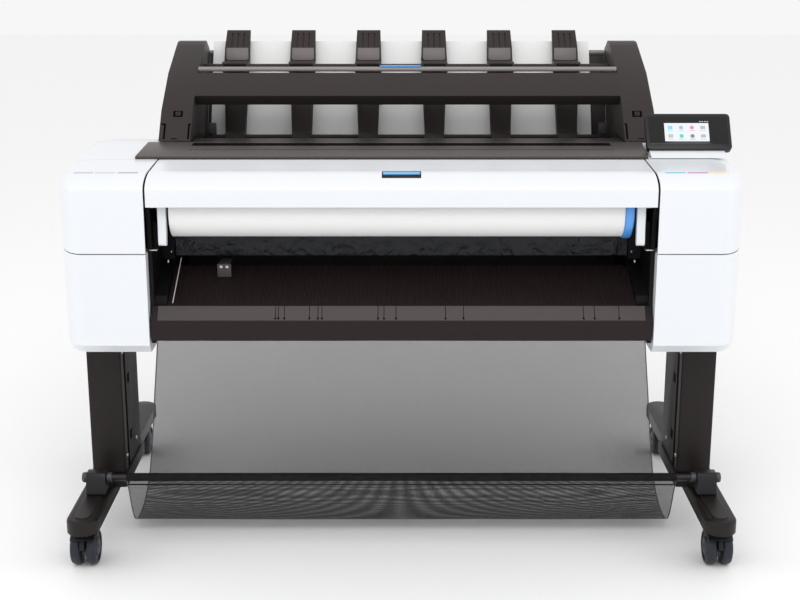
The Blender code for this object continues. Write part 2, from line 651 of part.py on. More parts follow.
def stacker_frame():
    """Two leaning cheeks and the crossbar between them, one moulding."""
    cheek = [(0.362, 0.8140), (0.418, 0.8745), (0.520, 0.9465), (0.640, 0.9980),
             (0.662, 1.0065), (0.690, 1.0065), (0.735, 0.9850), (0.752, 0.9550),
             (0.745, 0.9000), (0.690, 0.7450), (0.660, 0.7150), (0.503, 0.7000),
             (0.503, 0.8118), (0.362, 0.8118)]
    low, high = STACK_MID - STACK_HALF, STACK_MID + STACK_HALF
    inner_low, inner_high = STACK_MID - STACK_WINDOW, STACK_MID + STACK_WINDOW
    bar = [(0.520, 0.9465), (0.457, 0.9020), (0.475, 0.8790), (0.500, 0.8850),
           (0.548, 0.9250), (0.546, 0.9445)]
    piece = place("stacker_frame", extruded(bar, inner_low - 0.01, inner_high + 0.01), BROWN)
    for x0, x1 in ((low, inner_low), (inner_high, high)):
        side = extruded(cheek, x0, x1)
        outer = low if x0 == low else high
        for v in side.verts:
            if abs(v.co.x - outer) < 1e-6:
                v.co.x -= (outer - STACK_MID) * 0.09 * max(0.0, v.co.z - 0.90)
        picked = rounded(side, 0.006, 2, lambda e: max(v.co.z for v in e.verts) > 0.82
                         and min(v.co.y for v in e.verts) < 0.68
                         and all(abs(v.co.x - outer) < 0.02 for v in e.verts))
        join(piece, picked)
        latch = outer - 0.022 if outer > 0 else outer + 0.012
        cut(piece, block(latch, latch + 0.010, 0.30, 0.430, 0.868, 0.879))


def stacker_back():
    """The tray under the sheets and the leaning panel behind them, topped by a rod."""
    line = [(0.506, 0.7030), (0.600, 0.7030), (0.632, 0.7450), (0.741, 0.9700)]
    piece = place("stacker_back", extruded(walled(line, 0.003), STACK_LOW, STACK_HIGH), BROWN)
    middle = (STACK_LOW + STACK_HIGH) / 2
    join(piece, cylinder((middle, 0.7430, 0.9735), "X", 0.0060,
                         STACK_HIGH - STACK_LOW - 0.0002, 16))


def stacker_arms():
    """Six leaning arms in front of the sheets, joined by an upper and a lower rod."""
    middle, length = (STACK_LOW + STACK_HIGH) / 2, STACK_HIGH - STACK_LOW
    piece = place("stacker_arms", cylinder((middle, 0.640, 0.951), "X", 0.005, length, 12),
                  BROWN)
    join(piece, cylinder((middle, 0.596, 0.789), "X", 0.005, length, 12))
    shape = [(sheet_y(1.027, -0.004), 1.027), (0.742, 1.027), (0.700, 0.989), (0.690, 0.959),
             (0.642, 0.959), (0.632, 0.951), (0.640, 0.942), (0.660, 0.930), (0.652, 0.900),
             (0.604, 0.800), (0.590, 0.797), (0.584, 0.782), (sheet_y(0.782, -0.004), 0.782)]
    for i in range(6):
        x = (i - 2.5) * ARM_PITCH
        arm = extruded(shape, x - ARM_WIDTH / 2, x + ARM_WIDTH / 2)
        for v in arm.verts:
            v.co.x = x + (v.co.x - x) * (1.04 - 1.4 * max(0.0, v.co.z - 0.959))
        join(piece, arm)
        for offset in (-0.014, 0.0, 0.014):
            groove = [(0.7370, 1.0190), (0.7030, 0.9885), (0.6900, 0.9950), (0.7240, 1.0300)]
            cut(piece, extruded(groove, x + offset - 0.0018, x + offset + 0.0018))
        seat = rounded(block(x - 0.034, x + 0.034, 0.578, 0.600, 0.7715, 0.7835), 0.002, 1,
                       along("Z"))
        join(piece, seat)


def stacked_sheet():
    """The printed sheets standing in the stacker."""
    line = [(sheet_y(0.760), 0.760), (sheet_y(1.001), 1.001)]
    half = ROLL_WIDTH / 2
    place("stacked_sheet", extruded(walled(line, 0.001), -half, half), PAPER)


def stacker_front_rod():
    """The plain rod along the top of the crossbar."""
    middle = (STACK_LOW + STACK_HIGH) / 2
    rod = cylinder((middle, 0.5330, 0.9540), "X", 0.0055, STACK_HIGH - STACK_LOW, 16)
    place("stacker_front_rod", rod, GREY, smooth=35)


stacker_frame()
stacker_back()
stacker_arms()
stacked_sheet()
stacker_front_rod()


# ---------------------------------------------------------------- control panel
PANEL_PIVOT = (0.252, 0.832)
PANEL_X = (0.5185, 0.6985)


def control_panel_base():
    """The white wedge on the right housing with two lugs and the hinge rod."""
    wedge = [(0.186, 0.8034), (0.208, 0.8120), (0.235, 0.8190), (0.275, 0.8190),
             (0.325, 0.8092)]
    piece = place("control_panel_base", extruded(wedge, 0.524, 0.682), WHITE, smooth=30)
    y, z = PANEL_PIVOT
    for x in (0.548, 0.640):
        lug = [(y - 0.0061, 0.812), (y + 0.0061, 0.812)] + arc(PANEL_PIVOT, 0.0061, 0, 180, 8)
        join(piece, extruded(lug, x, x + 0.013))
    join(piece, cylinder((0.6005, y, z), "X", 0.005, 0.09, 16))


def control_panel():
    """The tilting touch screen: a rounded tablet with a bored knuckle behind it."""
    section = [(0.2135, 0.8175), (0.2635, 0.8870), (0.2765, 0.8776), (0.2400, 0.8270),
               (0.2260, 0.8200)]
    bm = extruded(section, *PANEL_X)
    middle = sum(PANEL_X) / 2
    hinge = (0.6005, *PANEL_PIVOT)
    piece = place("control_panel", bm, GLASS, pivot=hinge)
    knuckle = arc(PANEL_PIVOT, 0.0095, 0, 360, 20)[:-1]
    join(piece, extruded(knuckle, 0.5615, 0.6395))
    cut(piece, cylinder((middle, *PANEL_PIVOT), "X", 0.0055, 0.2, 20))


control_panel_base()
control_panel()


# ---------------------------------------------------------------- mains inlet and switch
def power_inlet():
    """The plate on the back of the right housing with the mains socket and switch opening."""
    y = SIDE_BACK + GAP
    plate = rounded(block(0.548, 0.652, y, y + 0.004, 0.490, 0.540), 0.004, 2, along("Y"))
    piece = place("power_inlet", plate, BLACK)
    join(piece, rounded(block(0.598, 0.648, y + 0.002, y + 0.018, 0.500, 0.530), 0.003, 2,
                        along("Y")))
    cut(piece, block(0.6110, 0.6350, y + 0.003, y + 0.03, 0.5070, 0.5230))
    for x, z in ((0.6165, 0.513), (0.6230, 0.517), (0.6295, 0.513)):
        join(piece, block(x - 0.001, x + 0.001, y + 0.001, y + 0.012, z - 0.002, z + 0.002))
    join(piece, rounded(block(0.554, 0.586, y + 0.002, y + 0.014, 0.495, 0.535), 0.002, 1,
                        along("Y")))
    cut(piece, block(0.5590, 0.5810, y + 0.0015, y + 0.03, 0.500, 0.530))


def power_switch():
    """The rocker beside the socket."""
    y = SIDE_BACK + GAP
    pivot = (0.570, y + 0.0085, 0.515)
    rocker = [(y + 0.0050, 0.5015), (y + 0.0030, 0.515), (y + 0.0050, 0.5285),
              (y + 0.0145, 0.5285), (y + 0.0120, 0.515), (y + 0.0165, 0.5015)]
    place("power_switch", extruded(rocker, 0.5595, 0.5805), BLACK, pivot=pivot)


power_inlet()
power_switch()
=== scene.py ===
from math import atan2, ceil, cos, pi, radians, sin, sqrt

import bmesh
import bpy
from mathutils import Matrix, Vector


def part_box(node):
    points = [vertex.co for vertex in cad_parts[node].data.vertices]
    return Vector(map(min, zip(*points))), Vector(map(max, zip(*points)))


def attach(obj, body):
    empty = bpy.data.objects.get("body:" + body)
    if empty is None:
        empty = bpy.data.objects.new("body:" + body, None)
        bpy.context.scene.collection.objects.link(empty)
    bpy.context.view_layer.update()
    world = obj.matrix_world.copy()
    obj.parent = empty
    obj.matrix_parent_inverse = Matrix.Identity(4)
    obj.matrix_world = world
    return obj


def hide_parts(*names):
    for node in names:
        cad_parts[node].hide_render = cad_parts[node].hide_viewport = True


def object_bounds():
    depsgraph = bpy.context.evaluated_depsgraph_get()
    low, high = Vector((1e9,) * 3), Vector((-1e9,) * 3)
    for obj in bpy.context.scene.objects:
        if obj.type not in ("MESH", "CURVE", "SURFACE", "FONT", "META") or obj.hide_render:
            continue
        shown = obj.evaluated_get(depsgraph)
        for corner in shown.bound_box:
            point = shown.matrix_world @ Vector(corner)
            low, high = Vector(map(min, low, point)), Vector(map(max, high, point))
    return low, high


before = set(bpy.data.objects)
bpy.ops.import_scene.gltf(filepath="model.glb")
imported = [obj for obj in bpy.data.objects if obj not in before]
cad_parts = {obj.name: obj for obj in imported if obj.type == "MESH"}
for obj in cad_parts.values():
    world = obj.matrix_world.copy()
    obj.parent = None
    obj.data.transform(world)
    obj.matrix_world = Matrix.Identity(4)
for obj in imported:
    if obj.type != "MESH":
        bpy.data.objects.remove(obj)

model_box = [list(corner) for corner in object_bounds()]
scene = bpy.context.scene

# ---- Studio -------------------------------------------------------------------------
# The plotter stands on a plain pale floor in an even white surround, under three soft
# boxes: a wide one above and in front, and one at each side.

scene.view_settings.view_transform = "Standard"

eye = bpy.data.cameras.new("eye")
eye.lens = 63.0
eye.sensor_width = 36.0
eye_holder = bpy.data.objects.new("eye", eye)
eye_holder.location = (-0.003, -3.031, 1.275)
eye_holder.rotation_euler = (radians(75.0), 0.0, 0.0)
scene.collection.objects.link(eye_holder)
scene.camera = eye_holder

surround = bpy.data.worlds.new("surround")
scene.world = surround
surround.use_nodes = True
surround.node_tree.nodes["Background"].inputs["Color"].default_value = (1.0, 1.0, 1.0, 1.0)
surround.node_tree.nodes["Background"].inputs["Strength"].default_value = 0.93


def soft_box(name, place, aim, width, height, power):
    lamp = bpy.data.lights.new(name, "AREA")
    lamp.shape = "RECTANGLE"
    lamp.size, lamp.size_y = width, height
    lamp.energy = power
    holder = bpy.data.objects.new(name, lamp)
    holder.location = place
    holder.rotation_euler = (Vector(aim) - Vector(place)).to_track_quat("-Z", "Y").to_euler()
    scene.collection.objects.link(holder)


soft_box("front_soft_box", (0.0, -2.6, 3.2), (0.0, 0.0, 0.6), 3.2, 1.6, 34.0)
soft_box("left_soft_box", (-3.0, -0.8, 1.8), (0.0, 0.0, 0.6), 1.4, 2.4, 11.0)
soft_box("right_soft_box", (3.0, -0.8, 1.8), (0.0, 0.0, 0.6), 1.4, 2.4, 11.0)

bm = bmesh.new()
bmesh.ops.create_grid(bm, x_segments=1, y_segments=1, size=14.0)
floor_mesh = bpy.data.meshes.new("studio_floor")
bm.to_mesh(floor_mesh)
bm.free()
studio_floor = bpy.data.objects.new("studio_floor", floor_mesh)
scene.collection.objects.link(studio_floor)
pale = bpy.data.materials.new("pale_floor")
pale.use_nodes = True
pale.node_tree.nodes["Principled BSDF"].inputs["Base Color"].default_value = (0.96, 0.96, 0.96, 1)
pale.node_tree.nodes["Principled BSDF"].inputs["Roughness"].default_value = 0.9
floor_mesh.materials.append(pale)


# ---- Legs, feet and cross beam ------------------------------------------------------
# Folded and welded sheet steel in a brown-black textured powder coat: two box legs stand in
# collars on the long feet, and a channel bolted between them ties them under the body.

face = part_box("left_lower_housing")[0][1]       # depths count from the housings' fronts


def wired(material, kind, **sockets):
    """Add a node to a material and fill its sockets by name: plain values, or links."""
    node = material.node_tree.nodes.new(kind)
    for label, value in sockets.items():
        socket = node.inputs[label.replace("_", " ")]
        if isinstance(value, bpy.types.NodeSocket):
            material.node_tree.links.new(value, socket)
        else:
            socket.default_value = value
    return node


def surface(name, colour, roughness, metallic=0.0, coat=0.0, shift=0.06, grain=0.0004,
            depth=0.00004, wear=0.0, gleam=0.5):
    """A moulded, painted or plated skin: fine grain, drifting tone and gloss, paler edges."""
    made = bpy.data.materials.new(name)
    made.use_nodes = True
    links = made.node_tree.links
    shader = made.node_tree.nodes["Principled BSDF"]
    shader.inputs["Metallic"].default_value = metallic
    shader.inputs["Coat Weight"].default_value = coat
    shader.inputs["Coat Roughness"].default_value = 0.12
    shader.inputs["Specular IOR Level"].default_value = gleam
    place = wired(made, "ShaderNodeTexCoord").outputs["Object"]
    drift = wired(made, "ShaderNodeTexNoise", Vector=place, Scale=3.7, Detail=3.0)
    tone = wired(made, "ShaderNodeMixRGB", Fac=drift.outputs["Fac"],
                 Color1=(*[c * (1 - shift) for c in colour], 1.0),
                 Color2=(*[min(1.0, c * (1 + shift)) for c in colour], 1.0))
    shown = tone.outputs["Color"]
    if wear:
        edge = wired(made, "ShaderNodeNewGeometry").outputs["Pointiness"]
        rim = wired(made, "ShaderNodeMapRange", Value=edge)
        rim.inputs["From Min"].default_value = 0.53
        rim.inputs["From Max"].default_value = 0.60
        rim.inputs["To Max"].default_value = wear
        pale_edge = (*[min(1.0, c * 1.8 + 0.03) for c in colour], 1.0)
        shown = wired(made, "ShaderNodeMixRGB", Fac=rim.outputs["Result"], Color1=shown,
                      Color2=pale_edge).outputs["Color"]
    links.new(shown, shader.inputs["Base Color"])
    gloss = wired(made, "ShaderNodeMapRange", Value=drift.outputs["Fac"])
    gloss.inputs["To Min"].default_value = roughness - min(shift, 0.05) * roughness * 3
    gloss.inputs["To Max"].default_value = roughness + min(shift, 0.05) * roughness * 3
    links.new(gloss.outputs["Result"], shader.inputs["Roughness"])
    pores = wired(made, "ShaderNodeTexNoise", Vector=place, Scale=1 / grain, Detail=2.0)
    bump = wired(made, "ShaderNodeBump", Height=pores.outputs["Fac"], Strength=0.6,
                 Distance=depth)
    links.new(bump.outputs["Normal"], shader.inputs["Normal"])
    return made


def show(name, bm, finish, body, slot, *nodes, smooth=35.0):
    """Make a piece of a bmesh, let it ride on its body and stand for its nodes."""
    mesh = bpy.data.meshes.new(name)
    bm.to_mesh(mesh)
    bm.free()
    mesh.materials.append(finish)
    mesh.shade_smooth()
    mesh.set_sharp_from_angle(angle=radians(smooth))
    piece = bpy.data.objects.new(name, mesh)
    scene.collection.objects.link(piece)
    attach(piece, body)
    if nodes:
        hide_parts(*nodes)
    return piece


def cut_across(bm, place, axis):
    """Cut a bmesh through at a place along an axis."""
    bmesh.ops.bisect_plane(bm, geom=bm.verts[:] + bm.edges[:] + bm.faces[:],
                           plane_co=[place * step for step in axis], plane_no=axis)


def softened(piece, width, segments=3, angle=30.0):
    """Round every edge sharper than the angle."""
    step = piece.modifiers.new("soft_edges", "BEVEL")
    step.width = width
    step.segments = segments
    step.limit_method = "ANGLE"
    step.angle_limit = radians(angle)
    step.use_clamp_overlap = True
    step.harden_normals = True
    return piece


def tidied(node):
    """A frame node's triangles merged back into flat faces."""
    bm = bmesh.new()
    bm.from_mesh(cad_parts[node].data)
    bmesh.ops.remove_doubles(bm, verts=bm.verts, dist=0.00001)
    bmesh.ops.dissolve_limit(bm, angle_limit=radians(0.5), verts=bm.verts, edges=bm.edges)
    bmesh.ops.dissolve_degenerate(bm, edges=bm.edges, dist=0.00001)
    return bm


def dressed(node, finish, body, slot, width=0.0008, segments=2):
    """A node kept in its own shape, with its edges rounded."""
    piece = show(node + "_finished", tidied(node), finish, body, slot, node)
    return softened(piece, width, segments)


def lathe(profile, centre, axis="X", steps=96):
    """Turn an (along, radius) profile about a line through a point."""
    bm = bmesh.new()
    points = [bm.verts.new((along, 0.0, radius)) for along, radius in profile]
    edges = [bm.edges.new(pair) for pair in zip(points, points[1:])]
    bmesh.ops.spin(bm, geom=points + edges, cent=(0, 0, 0), axis=(1, 0, 0), angle=2 * pi,
                   steps=steps, use_merge=True)
    bmesh.ops.remove_doubles(bm, verts=bm.verts, dist=0.000001)
    bmesh.ops.recalc_face_normals(bm, faces=bm.faces)
    turn = {"X": Matrix.Identity(4), "Y": Matrix.Rotation(pi / 2, 4, "Z"),
            "Z": Matrix.Rotation(-pi / 2, 4, "Y")}[axis]
    bmesh.ops.transform(bm, matrix=Matrix.Translation(centre) @ turn, verts=bm.verts)
    return bm


def rim_rounded(bm, edges, width, segments=3):
    """Round some edges of a bmesh."""
    bmesh.ops.bevel(bm, geom=edges, offset=width, offset_type="OFFSET", segments=segments,
                    profile=0.5, affect="EDGES", clamp_overlap=True, material=-1)


def prism(outline, start, end, axis="X", soft=0.0, segments=3):
    """Extrude a flat outline along an axis and round its edges."""
    corner = {"X": lambda a, b: (start, a, b), "Y": lambda a, b: (a, start, b),
              "Z": lambda a, b: (a, b, start)}[axis]
    travel = Vector((0, 0, 0))
    travel["XYZ".index(axis)] = end - start
    bm = bmesh.new()
    flat = bm.faces.new([bm.verts.new(corner(a, b)) for a, b in outline])
    grown = bmesh.ops.extrude_face_region(bm, geom=[flat])["geom"]
    moved = [v for v in grown if isinstance(v, bmesh.types.BMVert)]
    bmesh.ops.translate(bm, verts=moved, vec=travel)
    bmesh.ops.recalc_face_normals(bm, faces=bm.faces)
    if soft:
        sharp = [e for e in bm.edges if e.calc_face_angle(0.0) > radians(25)]
        rim_rounded(bm, sharp, soft, segments)
    return bm


def brick(low, high, soft=0.0005, segments=2):
    """A small moulded block between two corners."""
    outline = [(low[0], low[1]), (high[0], low[1]), (high[0], high[1]), (low[0], high[1])]
    return prism(outline, low[2], high[2], "Z", soft, segments)


def gathered(*parts):
    """Several details made together as one piece."""
    whole = bmesh.new()
    for bm in parts:
        mesh = bpy.data.meshes.new("detail")
        bm.to_mesh(mesh)
        bm.free()
        whole.from_mesh(mesh)
        bpy.data.meshes.remove(mesh)
    return whole


def screw(centre, axis, radius=0.003, out=1):
    """A pan-head screw with a hexagon socket, its head looking along the axis."""
    head = [(0.0, 0.0), (0.0, radius), (0.25, radius), (0.45, radius * 0.88),
            (0.55, radius * 0.6), (0.56, radius * 0.42), (0.2, radius * 0.40), (0.2, 0.0)]
    profile = [(a if a == 0.0 else a * radius * out, r) for a, r in head]
    return lathe(profile, centre, axis, 24)


powder_coat = surface("brown_black_powder_coat", (0.0105, 0.0068, 0.0068), 0.42, shift=0.15,
                      grain=0.0009, depth=0.00010, wear=0.35, gleam=0.22)
bright_steel = surface("bright_zinc_screws", (0.55, 0.54, 0.52), 0.30, metallic=1.0, grain=0.001)
for side, sign in (("left", -1), ("right", 1)):
    dressed(f"{side}_foot", powder_coat, "root", "dark_paint", 0.0020, 4)
    dressed(f"{side}_leg", powder_coat, "root", "dark_paint", 0.0010, 3)
    low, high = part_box(f"{side}_leg")
    inner = low[0] if side == "right" else high[0]
    heads = [screw((inner, face + y, z), "X", 0.0045, -sign)
             for y, z in ((0.118, 0.168), (0.225, 0.168), (0.118, 0.400), (0.255, 0.372))]
    show(f"{side}_leg_screws", gathered(*heads), bright_steel, "root", "steel")
low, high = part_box("cross_beam")
channel = [(0.2360, 0.3925), (0.2695, 0.3925), (0.2695, 0.4304), (0.2665, 0.4304), (0.2665, 0.3955),
           (0.2390, 0.3955), (0.2390, 0.4304), (0.2360, 0.4304)]
beam = prism([(face + y, z) for y, z in channel], low[0], high[0], "X", 0.0008, 2)
show("cross_beam_channel", beam, powder_coat, "root", "dark_paint", "cross_beam")


# ---- Casters ------------------------------------------------------------------------
# Twin nylon wheels with soft blue-black treads run either side of a black mudguard fork,
# which turns on a pin pressed into the foot above a plated thrust washer.

fork_nylon = surface("black_glass_nylon", (0.008, 0.008, 0.0105), 0.36, shift=0.12, wear=0.3,
                     gleam=0.3)
tread = surface("blue_black_tread", (0.012, 0.014, 0.024), 0.45, shift=0.15, gleam=0.4)
half_wheel = [(0.0052, 0.0119), (0.0055, 0.0300), (0.0062, 0.0338), (0.0085, 0.0362),
              (0.0120, 0.0370), (0.0198, 0.0370), (0.0232, 0.0362), (0.0256, 0.0340),
              (0.0265, 0.0312), (0.0263, 0.0296), (0.0236, 0.0286), (0.0230, 0.0200),
              (0.0252, 0.0188), (0.0264, 0.0160), (0.0264, 0.0060), (0.0250, 0.0045),
              (0.0250, 0.0)]
both_wheels = [(-a, r) for a, r in half_wheel[::-1]] + half_wheel
for end in ("front", "rear"):
    for side in ("left", "right"):
        fork = f"{end}_{side}_caster_fork"
        wheels = f"{end}_{side}_caster_wheels"
        low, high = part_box(wheels)
        axle = [(a + b) / 2 for a, b in zip(low, high)]
        show(wheels + "_turned", lathe(both_wheels, axle), tread, wheels, "wheel_rubber", wheels)
        bow = [(axle[1] + r * cos(radians(a)), axle[2] + r * sin(radians(a)))
               for r, turns in ((0.0424, range(38, 143, 4)), (0.0396, range(142, 37, -4)))
               for a in turns]
        web = [(axle[1] + 0.0405 * cos(radians(a)), axle[2] + 0.0405 * sin(radians(a)))
               for a in range(10, 171, 5)]
        stem = [(0.0, 0.0), (0.0, 0.0128), (0.0010, 0.0138), (0.0108, 0.0138), (0.0110, 0.0)]
        pin = (axle[0], axle[1] - 0.018, 0.0852)
        mudguard = gathered(prism(bow, axle[0] - 0.0250, axle[0] + 0.0250, "X", 0.0007),
                            prism(web, axle[0] - 0.0046, axle[0] + 0.0046, "X", 0.0006),
                            lathe(stem, (pin[0], pin[1], 0.0766), "Z", 64))
        show(fork + "_mudguard", mudguard, fork_nylon, fork, "black_plastic", fork)
        washer = [(0.0, 0.0142), (0.0, 0.0170), (0.0004, 0.0176), (0.0016, 0.0176),
                  (0.0020, 0.0170), (0.0020, 0.0142), (0.0, 0.0142)]
        show(f"{end}_{side}_thrust_washer", lathe(washer, pin, "Z", 64), bright_steel, fork,
             "steel")


# ---- Output basket ------------------------------------------------------------------
# A sling of fine grey polyester mesh hangs between a round black bar held in blocks on the
# feet and a second bar on two hanger arms behind the legs, with a black sleeve on each bar.

bar_black = surface("black_bar_paint", (0.006, 0.006, 0.0065), 0.30, shift=0.1, gleam=0.4)
collar_grey = surface("cast_grey_collar", (0.06, 0.06, 0.06), 0.34, metallic=0.3, shift=0.1)
bar_radius = 0.008
bar_y, bar_z = [side + bar_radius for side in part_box("basket_front_bar")[0][1:]]
for side, sign in (("left", -1), ("right", 1)):
    dressed(f"{side}_bar_bracket", fork_nylon, "root", "black_plastic", 0.0012, 3)
    collar = [(0.6085, 0.0081), (0.6085, 0.0094), (0.6095, 0.0102), (0.6185, 0.0102),
              (0.6190, 0.0096), (0.6190, 0.0081)]
    tip = [(0.6610, 0.0081), (0.6610, 0.0100), (0.6625, 0.0108), (0.6680, 0.0108),
           (0.6705, 0.0094), (0.6715, 0.0060), (0.6715, 0.0)]
    rings = [lathe([(sign * a, r) for a, r in collar + collar[:1]], (0, bar_y, bar_z)),
             lathe([(sign * a, r) for a, r in tip], (0, bar_y, bar_z))]
    show(f"{side}_bar_collar", gathered(*rings), collar_grey, "root", "dark_paint")

for bar in ("front", "rear"):
    low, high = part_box(f"basket_{bar}_bar")
    middle = (0.0, (low[1] + high[1]) / 2, (low[2] + high[2]) / 2)
    rod = [(low[0], 0.0), (low[0], 0.0068), (low[0] + 0.0012, 0.0080),
           (high[0] - 0.0012, 0.0080), (high[0], 0.0068), (high[0], 0.0)]
    show(f"basket_{bar}_bar_turned", lathe(rod, middle, steps=64), bar_black, "root",
         "dark_paint", f"basket_{bar}_bar")

hangers = []
for sign in (-1, 1):
    x0, x1 = sorted((sign * 0.5860, sign * 0.5900))
    arm = [(0.262, 0.4000), (0.262, 0.4290), (0.470, 0.4230), (0.488, 0.4235), (0.4980, 0.4190),
           (0.5010, 0.4120), (0.4980, 0.4060), (0.4900, 0.4030), (0.470, 0.4040)]
    hangers.append(prism([(face + y, z) for y, z in arm], x0, x1, "X", 0.0008))
    cap = [(0.5740, 0.0081), (0.5740, 0.0104), (0.5752, 0.0112), (0.5848, 0.0112),
           (0.5862, 0.0100), (0.5862, 0.0)]
    hangers.append(lathe([(sign * a, r) for a, r in cap], middle))
show("basket_rear_hangers", gathered(*hangers), powder_coat, "root", "dark_paint")

sling = [(0.0410, 0.1180), (0.0540, 0.0880), (0.0730, 0.0520),
         (0.0940, 0.0300), (0.1220, 0.0190), (0.1600, 0.0160), (0.1960, 0.0195),
         (0.2280, 0.0285), (0.2580, 0.0435), (0.2900, 0.0665), (0.3300, 0.1180),
         (0.3880, 0.2130), (0.4400, 0.2940), (0.4720, 0.3550)]


def flowing(points, share):
    """A place along a smooth line through the points, at a share of the way."""
    at = min(share * (len(points) - 1), len(points) - 1.000001)
    i = int(at)
    t = at - i
    a, b, c, d = [Vector(points[min(max(k, 0), len(points) - 1)]) for k in range(i - 1, i + 3)]
    return 0.5 * (2 * b + (c - a) * t + (2 * a - 5 * b + 4 * c - d) * t * t
                  + (3 * b - a - 3 * c + d) * t * t * t)


def around(y, z, radius, start, end, steps):
    """Points of a sleeve round a bar, angles in degrees from straight behind."""
    turns = [radians(start + (end - start) * i / steps) for i in range(steps + 1)]
    return [(y + radius * cos(t), z + radius * sin(t)) for t in turns]


front_sleeve = around(bar_y - face, bar_z, 0.0090, -60, 215, 22)
rear_sleeve = around(middle[1] - face, middle[2], 0.0090, 230, -60, 22)
hanging = [front_sleeve[-1]] + sling + [rear_sleeve[0]]
hung = [flowing(hanging, i / 110) for i in range(1, 110)]
path = [Vector(p) for p in front_sleeve] + hung + [Vector(p) for p in rear_sleeve]
lengths = [0.0]
for before, after in zip(path, path[1:]):
    lengths.append(lengths[-1] + (after - before).length)
half_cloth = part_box("basket_fabric")[1][0]
columns = 72

sheet_bm = bmesh.new()
cloth_uv = sheet_bm.loops.layers.uv.new("weave")
line = [sheet_bm.verts.new((-half_cloth, face + y, z)) for y, z in path]
edges = [sheet_bm.edges.new(pair) for pair in zip(line, line[1:])]
strip = edges
for column in range(columns):
    grown = bmesh.ops.extrude_edge_only(sheet_bm, edges=strip)["geom"]
    fresh = [v for v in grown if isinstance(v, bmesh.types.BMVert)]
    bmesh.ops.translate(sheet_bm, verts=fresh, vec=(2 * half_cloth / columns, 0, 0))
    strip = [e for e in grown if isinstance(e, bmesh.types.BMEdge)
             and all(v in fresh for v in e.verts)]
ruler = {(round(face + y, 6), round(z, 6)): reach for (y, z), reach in zip(path, lengths)}
along_cloth = sheet_bm.verts.layers.float.new("along")
for v in sheet_bm.verts:
    v[along_cloth] = ruler[min(ruler, key=lambda p: (p[0] - v.co.y) ** 2 + (p[1] - v.co.z) ** 2)]
for quad in sheet_bm.faces:
    for loop in quad.loops:
        loop[cloth_uv].uv = (loop.vert.co.x, loop.vert[along_cloth])
hang_start, hang_end = lengths[len(front_sleeve) - 1], lengths[-len(rear_sleeve)]
for v in sheet_bm.verts:
    share = (v[along_cloth] - hang_start) / (hang_end - hang_start)
    if 0.0 < share < 1.0:
        inward = 1 - (v.co.x / half_cloth) ** 2
        slack = sin(pi * share) * inward
        ripple = sin(v.co.x * 9.0 + share * 5.0) + 0.6 * sin(v.co.x * 21.0 - share * 9.0)
        v.co.z -= 0.0016 * slack * (share > 0.15)
        v.co.y += 0.0011 * ripple * sin(pi * share) * min(1.0, 6 * inward)
bmesh.ops.recalc_face_normals(sheet_bm, faces=sheet_bm.faces)

mesh_cloth = bpy.data.materials.new("grey_polyester_mesh")
mesh_cloth.use_nodes = True
thread = mesh_cloth.node_tree.nodes["Principled BSDF"]
thread.inputs["Roughness"].default_value = 0.75
thread.inputs["Specular IOR Level"].default_value = 0.2
weave = wired(mesh_cloth, "ShaderNodeUVMap")
weave.uv_map = "weave"
across = wired(mesh_cloth, "ShaderNodeSeparateXYZ", Vector=weave.outputs["UV"])
drift = wired(mesh_cloth, "ShaderNodeTexNoise", Vector=weave.outputs["UV"], Scale=9.0, Detail=2.0)


def summed(operation, *terms):
    """One sum in the cloth's material, of plain values and other sums."""
    node = wired(mesh_cloth, "ShaderNodeMath")
    node.operation = operation
    for socket, term in zip(node.inputs, terms):
        if isinstance(term, bpy.types.NodeSocket):
            mesh_cloth.node_tree.links.new(term, socket)
        else:
            socket.default_value = term
    return node.outputs[0]


openings = []
for direction, pitch in (("X", 0.0021), ("Y", 0.0019)):
    threads = summed("MULTIPLY", across.outputs[direction], 1 / pitch)
    openings.append(summed("GREATER_THAN", summed("FRACT", threads), 0.41))
closed = summed("SUBTRACT", 1.0, summed("MULTIPLY", *openings))
mesh_cloth.node_tree.links.new(closed, thread.inputs["Alpha"])
yarn = wired(mesh_cloth, "ShaderNodeMixRGB", Fac=drift.outputs["Fac"],
             Color1=(0.022, 0.022, 0.0225, 1.0), Color2=(0.040, 0.040, 0.041, 1.0))
mesh_cloth.node_tree.links.new(yarn.outputs["Color"], thread.inputs["Base Color"])
twist = wired(mesh_cloth, "ShaderNodeTexNoise", Vector=weave.outputs["UV"], Scale=1400.0)
raised = wired(mesh_cloth, "ShaderNodeBump", Height=twist.outputs["Fac"], Strength=0.4,
               Distance=0.0002)
mesh_cloth.node_tree.links.new(raised.outputs["Normal"], thread.inputs["Normal"])
basket = show("basket_sling", sheet_bm, mesh_cloth, "root", "basket_mesh", "basket_fabric",
              smooth=80.0)

hem_tape = surface("black_hem_tape", (0.008, 0.008, 0.0085), 0.7, shift=0.15, grain=0.0007,
                   depth=0.0001, gleam=0.2)


def skin(line, start, end, steps=1):
    """A thin surface drawn out of a line in equal steps, and its far edges."""
    bm = bmesh.new()
    points = [bm.verts.new((start, y, z)) for y, z in line]
    far = [bm.edges.new(pair) for pair in zip(points, points[1:])]
    for step in range(steps):
        grown = bmesh.ops.extrude_edge_only(bm, edges=far)["geom"]
        fresh = [v for v in grown if isinstance(v, bmesh.types.BMVert)]
        bmesh.ops.translate(bm, verts=fresh, vec=((end - start) / steps, 0, 0))
        far = [e for e in grown if isinstance(e, bmesh.types.BMEdge)
               and all(v in fresh for v in e.verts)]
    return bm, far


def on_cloth(reach):
    """The point of the cloth's line at a length from its front end."""
    i = max(k for k in range(len(path) - 1) if lengths[k] <= reach)
    return path[i].lerp(path[i + 1], (reach - lengths[i]) / (lengths[i + 1] - lengths[i]))


